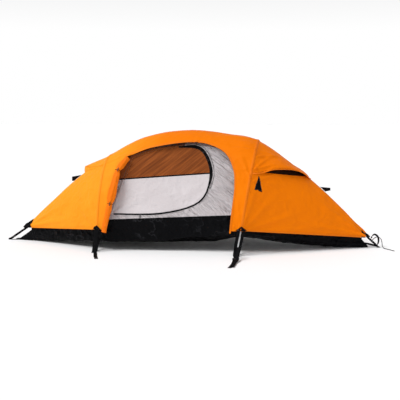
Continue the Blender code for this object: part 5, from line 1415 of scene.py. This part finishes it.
def tip_strap(part, tip_x, sign, hem_z, top_z, reach, end_z, on_edge, flat_until):
    """The strap from the fly's tip to the stake and back under the tub. It stands on edge in places.
    Returns its line, the index of its furthest point and its upright direction half way there."""
    stake = tip_x + sign * reach
    start = tip_x + sign * 0.0019
    path = [(start, top_z), (start + sign * 0.010, hem_z + 0.002), (stake - sign * 0.010, 0.0051),
            (stake, 0.0036), (stake + sign * 0.002, 0.0019), (stake - sign * 0.004, 0.0009),
            (tip_x - sign * 0.0247, end_z)]
    points = []
    for a, b in zip(path, path[1:]):
        points += [(mix(a[0], b[0], t), 0, mix(a[1], b[1], t)) for t in np.linspace(0, 1, 8)[:-1]]
    points.append((path[-1][0], 0, path[-1][1]))
    line = evenly(points, 0.0025)
    flat = np.tile((0.0, 1.0, 0.0), (len(line), 1))
    upright = np.cross(tangents(line), flat)
    walked = np.linspace(0, 1, len(line))
    furthest = np.argmax(np.abs(line[:, 0] - tip_x))
    down = walked[:furthest + 1] / walked[furthest]
    back = (walked[furthest:] - walked[furthest]) / (1 - walked[furthest])
    turn = np.zeros(len(line))
    for low, high in on_edge:
        turn[:furthest + 1] += np.sin(math.pi * np.clip((down - low) / (high - low), 0, 1)) ** 0.5
    rise = np.clip((back - flat_until) / (0.94 - flat_until), 0, 1)
    turn[furthest:] = np.maximum(turn[furthest:], np.sin(math.pi * rise) ** 0.5)
    turn *= math.radians(76)
    line[furthest:, 2] += 0.0068 * np.sin(turn[furthest:])
    across = flat * np.cos(turn)[:, None] + upright * np.sin(turn)[:, None]
    thing = ribbon(f"{part}_tip_webbing", line, 0.015, 0.0016, across, WEB, step=0.0025)
    dress(thing, nodes=[f"{part}_tip_strap"])
    return line, furthest, upright[furthest // 2]


def build_tip(part, anchor, anchor_width, corner_z, corner_reach, patch_share, **strap):
    """Everything at one tip: the strap, what is sewn to it, the tub's corner and the fly's patch."""
    line, furthest, upright = tip_strap(part, **strap)
    tip_x, sign, top_z = strap["tip_x"], strap["sign"], strap["top_z"]
    if part == "foot":
        leg = [line[int(furthest * share)] + np.array((0, off, 0.0004)) for share, off in FOOT_RETURN]
        dress(ribbon("foot_tip_return", spline_points(leg, 8), 0.016, 0.0016, upright, WEB, step=0.0025))
    for side, label in ((-1.0, "near1"), (1.0, "far1")):
        sewn = [(tip_x - sign * along, side * 0.0105, top_z + drop) for along, drop in anchor]
        dress(ribbon(f"{part}_tip_anchor_{label}", spline_points(sewn, 6), anchor_width, 0.0016, upright, WEB,
                     step=0.003))
    if part == "head":
        tail = spline_points(HEAD_TIP_TAIL, 8)
        dress(ribbon("head_tip_tail", tail, 0.014, 0.0020, (0.55, 0.35, 0.75), WEB, step=0.003))
    gusset = []
    for t in np.linspace(0, 1, 16):
        x = mix(tip_x - sign * 0.030, tip_x + sign * corner_reach, t)
        top = mix(corner_z, 0.010, t ** 0.9)
        half = mix(0.0275, 0.0035, t)
        gusset.append([(x, -half * math.cos(a) * (1 - 0.25 * math.sin(a)), 0.0006 + top * math.sin(a))
                       for a in np.linspace(0, math.pi, 17)])
    dress(open_shell(f"{part}_tub_corner", np.array(gusset), BLACK, PATCH))
    patch = fly_grid(part, np.linspace(patch_share, 1.0, 12), np.linspace(0.0, math.pi, 40))
    patch = raised(patch, fly_wave(patch) + 0.0030)
    dress(open_shell(f"{part}_tip_patch", patch, WEB, PATCH))


# Rolled door, zips, patches and tabs

# How far the roll's middle lies from the doorway's edge, as (z, shift)
ROLL_SHIFT = [(0.128, 0.014), (0.330, 0.017), (0.450, 0.012), (0.520, 0.006), (0.565, -0.004),
              (0.610, 0.002), (0.650, 0.010)]
ROLL_RADIUS = 0.0165
TIES = {"upper": 0.560, "lower": 0.330}


def roll_frames():
    """The roll's middle line and the line where the cloth leaves the doorway's edge."""
    edge = [(x, z) for x, z in spline_points(FLY_DOOR_LEFT, 14) if ROLL_SHIFT[0][0] <= z <= ROLL_SHIFT[-1][0]]
    centres = [fly_place(x + curve_through(ROLL_SHIFT, z), z) - np.array((0, 0.004, 0)) for x, z in edge]
    roots = [fly_place(x + 0.0005, z, 0.0012) for x, z in edge]
    return evenly(centres, 0.0045), evenly(roots, 0.0045)


def roll_swell(z):
    """How much wider than a plain cylinder the roll bulges at a height."""
    pinch = np.exp(-((z - TIES["upper"]) / 0.020) ** 2) + 0.7 * np.exp(-((z - TIES["lower"]) / 0.020) ** 2)
    top = np.clip((z - 0.575) / 0.05, 0, 1)
    low = np.clip((0.420 - z) / 0.25, 0, 1)
    return 1.62 + 0.06 * np.sin(z * 19.0) - 0.55 * pinch - 0.50 * top - 0.62 * low


def build_roll():
    """The fly's door: one cloth rolled round and round, with its two loops and toggles."""
    centres, roots = roll_frames()
    count = min(len(centres), len(roots))
    centres, roots = (at_marks(np.linspace(0, 1, count), np.linspace(0, 1, len(line)), line)
                      for line in (centres, roots))
    along = tangents(centres)
    out = np.tile((0.0, -1.0, 0.0), (count, 1))
    out = unit(out - along * (out * along).sum(1, keepdims=True))
    side = np.cross(out, along)
    side *= np.sign(side[:, :1])
    turns, steps, flatness, core_radius = 8, 28, 0.62, 0.0036
    angles = np.linspace(0, turns * 2 * math.pi, turns * steps)
    rows = [roots, roots * 0.55 + (centres - side * 0.0170 - out * 0.002) * 0.45]
    for angle in angles:
        share = angle / angles[-1]
        radius = mix(ROLL_RADIUS, core_radius, share)
        turn = math.pi - angle
        cos, sin = math.cos(turn), math.sin(turn)
        crease = np.array([noise.noise(Vector((cos * 1.6, sin * 1.6, p[2] * 6.5))) for p in centres])
        fine = np.array([noise.noise(Vector((cos * 4.2, sin * 4.2, p[2] * 9 + 5))) for p in centres])
        size = radius * roll_swell(centres[:, 2]) * (1 + 0.26 * crease + 0.16 * fine)
        rows.append(centres + side * (size * cos)[:, None] + out * (size * sin * flatness)[:, None])
    thing = shell("rolled_door", np.array(rows), ORANGE_ROLL, 0.0005)
    dress_sheet(thing, "fly_door_roll")
    for label, height in TIES.items():
        index = int(np.argmin(np.abs(centres[:, 2] - height)))
        centre, run, sideways, off = centres[index], along[index], side[index], out[index]
        size = ROLL_RADIUS * roll_swell(height) * 1.10
        ring = [centre + sideways * math.cos(angle) * (size + 0.0015)
                + off * math.sin(angle) * (size * 0.64 + 0.0015) for angle in np.linspace(0, 2 * math.pi, 49)]
        loop = tube(f"tie_loop_{label}", ring[:-1] + [ring[0]], 0.0013, WEB, 8, 0.002)
        dress(loop, nodes=[f"door_tie_{label}"])
        spot = centre + off * (ROLL_RADIUS * roll_swell(height) * 0.72 + 0.0052)
        line = [spot + run * place for place in (-0.015, -0.013, -0.004, 0.004, 0.013, 0.015)]
        radii = [0.0014, 0.0029, 0.0031, 0.0024, 0.0031, 0.0029, 0.0014]
        dress(tube(f"tie_toggle_{label}", line, radii, PLASTIC, 14, 0.0012))


def edge_away(line):
    """Directions square to an (x, z) line, away from the opening that it runs round."""
    along = tangents(line)
    return np.stack([along[:, 1], -along[:, 0]], 1)


def teeth(name, line, normals, size):
    """Zip teeth along a line: small blocks that stand on the tape."""
    pitch = 0.0022
    walked = walked_along(line)
    verts, faces = [], []
    wide, long, tall = size
    place = pitch
    index = 0
    while place < walked[-1] - pitch:
        centre = at_marks(place, walked, line)
        ahead = at_marks(place + pitch / 2, walked, line)
        up = at_marks(place, walked, normals)
        up /= np.linalg.norm(up)
        run = ahead - centre
        run /= np.linalg.norm(run)
        side = np.cross(up, run)
        centre = centre + side * (0.0004 if index % 2 else -0.0004)
        base = len(verts)
        for u, shrink in ((0.0, 1.0), (tall, 0.7)):
            for a, b in ((-1, -1), (1, -1), (1, 1), (-1, 1)):
                verts.append(centre + side * a * wide / 2 * shrink + run * b * long / 2 * shrink + up * u)
        faces += [(base, base + 3, base + 2, base + 1), (base + 4, base + 5, base + 6, base + 7)]
        faces += [(base + k, base + (k + 1) % 4, base + 4 + (k + 1) % 4, base + 4 + k) for k in range(4)]
        place += pitch
        index += 1
    dress(add_mesh(name, verts, faces, PLASTIC, smooth=False))


def edge_tape(name, line, away, profile, surface, thick):
    """A tape on the fly beside a line. The profile is (offset from the line, height over the fly)."""
    rows = [fly_at(line + away * offset, out)[0] for offset, out in profile]
    return shell(name, np.array(rows), surface, thick)


def build_fly_zip():
    """The zip on the doorway's edge and the binding round it."""
    line = spline_points(FLY_DOOR[:7], 10)
    line = evenly([p for p in line if p[1] >= HEMS["head"][0]], 0.006)
    away = edge_away(line)
    profile = ((0.0, -0.0037), (0.0, -0.0024), (0.0008, -0.0024), (0.010, -0.0024), (0.011, -0.0030))
    tape = edge_tape("fly_zip_cloth", line, away, profile, WEB, PATCH)
    dress(tape, nodes=["fly_zip_tape"])
    base, normals = fly_at(line - away * 0.0010, -0.0030)
    teeth("fly_zip_teeth", base, normals, (0.0030, 0.0013, 0.0012))
    profile = ((-0.0002, -0.0010), (-0.0006, 0.0004), (0.0, 0.0014), (0.004, 0.0015), (0.0095, 0.0014),
               (0.0100, 0.0002))
    for name, outline, per_span in (("doorway", FLY_DOOR, 10), ("doorway_left", FLY_DOOR_LEFT, 8)):
        line = evenly(spline_points(outline, per_span), 0.005)
        keep = line[:, 1] >= HEMS["foot"][0] - 0.002
        line, away = line[keep], edge_away(line)[keep]
        dress(edge_tape(f"{name}_binding", line, away, profile, ORANGE_TRIM, 0.0005))
        lines = [fly_at(line + away * offset, 0.0016) for offset in (0.003, 0.0082)]
        dress(dashes(f"{name}_stitches", lines, THREAD_ORANGE))


def build_inner_zip():
    """The zip from the door's top round to its lower foot corner, and the hinge side's binding."""
    top_x, top_z = -0.075, 0.713
    tape_width, band_half = 0.0100, 0.004
    ring = evenly(DOOR_HOLE + [DOOR_HOLE[0]], 0.004)
    away = edge_away(ring)
    normal = wall_normal()

    def beside(use, offset):
        return ring[use] + away[use] * offset

    def strip(name, low, high, out, thick, surface, use, nodes=()):
        """A flat band on the wall between two offsets from the ring's used part."""
        shape = ((0.0, 0.0), (0.04, 0.8), (0.10, 1.0), (0.90, 1.0), (0.96, 0.8), (1.0, 0.0))
        rows = [near_wall(beside(use, mix(low, high, share)), out + thick * rise) for share, rise in shape]
        return dress(shell(name, np.array(rows), surface, min(thick, TRIM) * 0.9), nodes=nodes)

    zipped = np.where((ring[:, 0] > top_x) | (ring[:, 1] < 0.40) & (ring[:, 0] > -0.515))[0]
    zipped = zipped[zipped < int(np.argmin(np.hypot(ring[:, 0] - top_x, ring[:, 1] - top_z))) + 2]
    plain = np.arange(zipped[-1], len(ring))
    strip("inner_zip_cloth", 0.0, tape_width, 0.0004, 0.0012, WEB, zipped, nodes=["inner_zip_tape"])
    hinge = strip("hinge_binding", 0.0014, tape_width, 0.0004, 0.0010, BINDING, plain)
    paint(hinge, GREY, lambda p: p.z < band_line(p.x) - band_half)
    paint(hinge, BLACK, lambda p: abs(p.z - band_line(p.x)) <= band_half)
    closed = near_wall(beside(zipped, 0.0008), 0.0014)
    teeth("inner_zip_teeth", closed, np.tile(normal, (len(closed), 1)), (0.0034, 0.0013, 0.0013))
    use = zipped[(ring[zipped, 1] > 0.44) & (ring[zipped, 0] > -0.06)]
    fade = np.minimum(np.arange(len(use)), np.arange(len(use))[::-1]) / 22.0
    wide = 0.0060 + 0.0145 * np.clip(fade, 0, 1)[:, None] ** 0.7
    strip("zip_guard", 0.0, wide, 0.0016, 0.0012, BLACK, use)
    piping = near_wall(beside(use, wide + 0.0105), 0.0012)
    dress(tube("door_piping", piping, 0.0016, PIPING, 8, 0.004))
    for name, used, offsets, out, thread in (("zip", zipped, (0.0022, 0.0084), 0.00165, THREAD_DARK),
                                             ("wall", slice(None), (0.0145, 0.0175), 0.0006, THREAD_GREY)):
        lines = [(near_wall(beside(used, offset), out), normal) for offset in offsets]
        dress(dashes(f"{name}_stitches", lines, thread))


def build_patches():
    """The guy patch on each side of the head panel: a triangle with a notched lower edge."""
    for label, mirror in (("near", 1.0), ("far", -1.0)):
        rows = []
        for drop in np.linspace(0, 1, 22):
            angle = mix(0.69, 0.492, drop)
            middle = mix(0.066, 0.081, drop)
            wide = mix(0.002, 0.032, drop)
            row = []
            for k in np.linspace(-1, 1, 21):
                notch = 0.014 * max(0.0, 1 - abs(k + 0.2) / 0.35) * drop ** 2
                row.append(fly_grid("head", [middle + wide * k], np.array([angle + notch]))[0, 0])
            rows.append(row)
        points = np.array(rows)
        points = raised(points, fly_wave(points) + 0.0012)
        points[..., 1] *= mirror
        thing = open_shell(f"{label}_patch", points, WEB, PATCH)
        dress(thing, nodes=[f"{label}_guy_patch"])
        rim, normal = (np.concatenate([grid[1:-1, 1], grid[-2, 1:-1], grid[-2:1:-1, -2]])
                       for grid in (points, outward(points)))
        dress(dashes(f"{label}_patch_stitches", [(rim + normal * 0.0002, normal)], THREAD_GREY, length=0.002,
                     gap=0.0012))


def squared(part):
    """A sine or cosine bent so that the circle becomes a rounded square."""
    return math.copysign(abs(part) ** 0.35, part)


def build_tabs():
    """The webbing pulls at both ends of the ridge. Each grows out of the ridge between high and low."""
    for part, root_x, sign, off, tip, tip_high in (
            ("head", 0.925, 1.0, 0.0008, (0.990, 0, 0.406), (0.997, 0, 0.426)),
            ("foot", -0.835, -1.0, 0.0001, (-0.890, 0, 0.454), (-0.904, 0, 0.486))):
        low_x = root_x + sign * 0.036
        high = np.array((root_x, 0, ridge_z(root_x) + off + 0.0004))
        low = np.array((low_x, 0, ridge_z(low_x) + off + 0.0004))
        tip, tip_high = np.array(tip), np.array(tip_high)
        rows = []
        for t in np.linspace(0, 1, 18):
            upper = mix(high, tip_high, t)
            if (upper[0] - low[0]) * sign > 0:
                low_z = np.interp(upper[0] * sign, [low[0] * sign, tip[0] * sign], [low[2], tip[2]])
            else:
                low_z = mix(high[2], low[2], (upper[0] - high[0]) / (low[0] - high[0]))
            tall = max(0.0016, upper[2] - low_z)
            half = 0.009 * (1 - 0.12 * t)
            rows.append([(upper[0], squared(math.cos(a)) * half,
                          low_z + tall / 2 + squared(math.sin(a)) * tall / 2)
                         for a in np.linspace(0, 2 * math.pi, 25)[:-1]])
        rows = np.array(rows)
        thing = add_mesh(f"{part}_tab", rows.reshape(-1, 3), closed_faces(*rows.shape[:2]), WEB)
        dress(thing, nodes=[f"{part}_guy_tab"])


def build_cord():
    """The free cord: out of the head tip's buckle, over it and along the ground."""
    path = spline_points([(1.2998, 0, .0508), (1.3090, -.0010, .0612), (1.3220, -.0035, .0725),
                          (1.3380, -.0070, .0770), (1.3530, -.0110, .0720), (1.3640, -.0160, .0570),
                          (1.3680, -.0220, .0360), (1.3705, -.0290, .0160), (1.3770, -.0390, .0048),
                          (1.3880, -.0540, .0018), (1.4020, -.0740, .0017), (1.4170, -.0980, .0017),
                          (1.4300, -.1200, .0017), (1.4400, -.1360, .0017)], 3)
    radius, lowest = 0.0024, 0.0026
    path = [np.array((p[0], p[1], max(p[2], lowest))) for p in path]
    thing = tube("head_cord", path, radius, CORD, 12, 0.002)
    dress(thing, nodes=["head_guy_cord"])


# The surface of a CAD node that stays, by the first of these words in its name
FINISHES = [("shock_cord", ELASTIC), ("inner_zip", BLACK_METAL), ("ferrule", METAL), ("pole_tip", METAL),
            ("zip_slider", METAL), ("_section", TUBE), ("socket", PLASTIC), ("clip", PLASTIC),
            ("lock", PLASTIC), ("buckle", PLASTIC), ("pull", PLASTIC)]


def carry_over():
    """Finished materials on the CAD nodes that stay as they are."""
    for name, thing in NODES.items():
        surface = next((made for word, made in FINISHES if word in name), None)
        if surface:
            thing.data.materials.clear()
            thing.data.materials.append(surface)


# Floor, light and camera

def build_stage():
    half = 40
    white, _, shader = shader_of("studio_floor", (0.985, 0.985, 0.985), 0.8)
    shader.inputs["Specular IOR Level"].default_value = 0.1
    corners = [(-half, -half, 0), (half, -half, 0), (half, half, 0), (-half, half, 0)]
    add_mesh("studio_floor", corners, [(0, 1, 2, 3)], white, smooth=False)


def build_light_and_camera():
    world = bpy.data.worlds.new("studio")
    SCENE.world = world
    world.use_nodes = True
    tree = world.node_tree
    back = tree.nodes["Background"]
    coords = node(tree, "ShaderNodeTexCoord")
    parts = node(tree, "ShaderNodeSeparateXYZ")
    tree.links.new(coords.outputs["Generated"], parts.inputs["Vector"])
    tone = ramp(tree, parts.outputs["Z"], (1.0, 1.0, 1.0), (0.40, 0.40, 0.41), 0.10, 0.42)
    tree.links.new(tone, back.inputs["Color"])
    light = bpy.data.lights.new("key", "SUN")
    light.energy = 2.42
    light.angle = math.radians(34)
    thing = bpy.data.objects.new("key", light)
    SCENE.collection.objects.link(thing)
    toward_sun = Vector((-0.52, -0.34, 0.84))
    thing.rotation_euler = (-toward_sun).to_track_quat("-Z", "Y").to_euler()
    camera = bpy.data.cameras.new("camera")
    camera.lens = 67.5
    camera.sensor_width = 36.0
    camera.clip_end = 60
    thing = bpy.data.objects.new("camera", camera)
    SCENE.collection.objects.link(thing)
    place, aim = Vector((0.72129, -5.41831, 0.99428)), Vector((0.056, 0, 0.324))
    thing.location = place
    thing.rotation_euler = (aim - place).to_track_quat("-Z", "Y").to_euler()
    SCENE.camera = thing
    SCENE.view_settings.view_transform = "Standard"
    SCENE.view_settings.look = "None"


def main():
    carry_over()
    build_tub()
    build_walls()
    build_inner_ends()
    build_inner_door()
    build_fly()
    build_vents()
    build_skirt()
    build_seams()
    build_hems()
    build_hoop_straps()
    for part, sizes in TIP_ENDS.items():
        build_tip(part, **sizes)
    build_roll()
    build_fly_zip()
    build_inner_zip()
    build_patches()
    build_tabs()
    build_cord()
    build_stage()
    build_light_and_camera()


main()
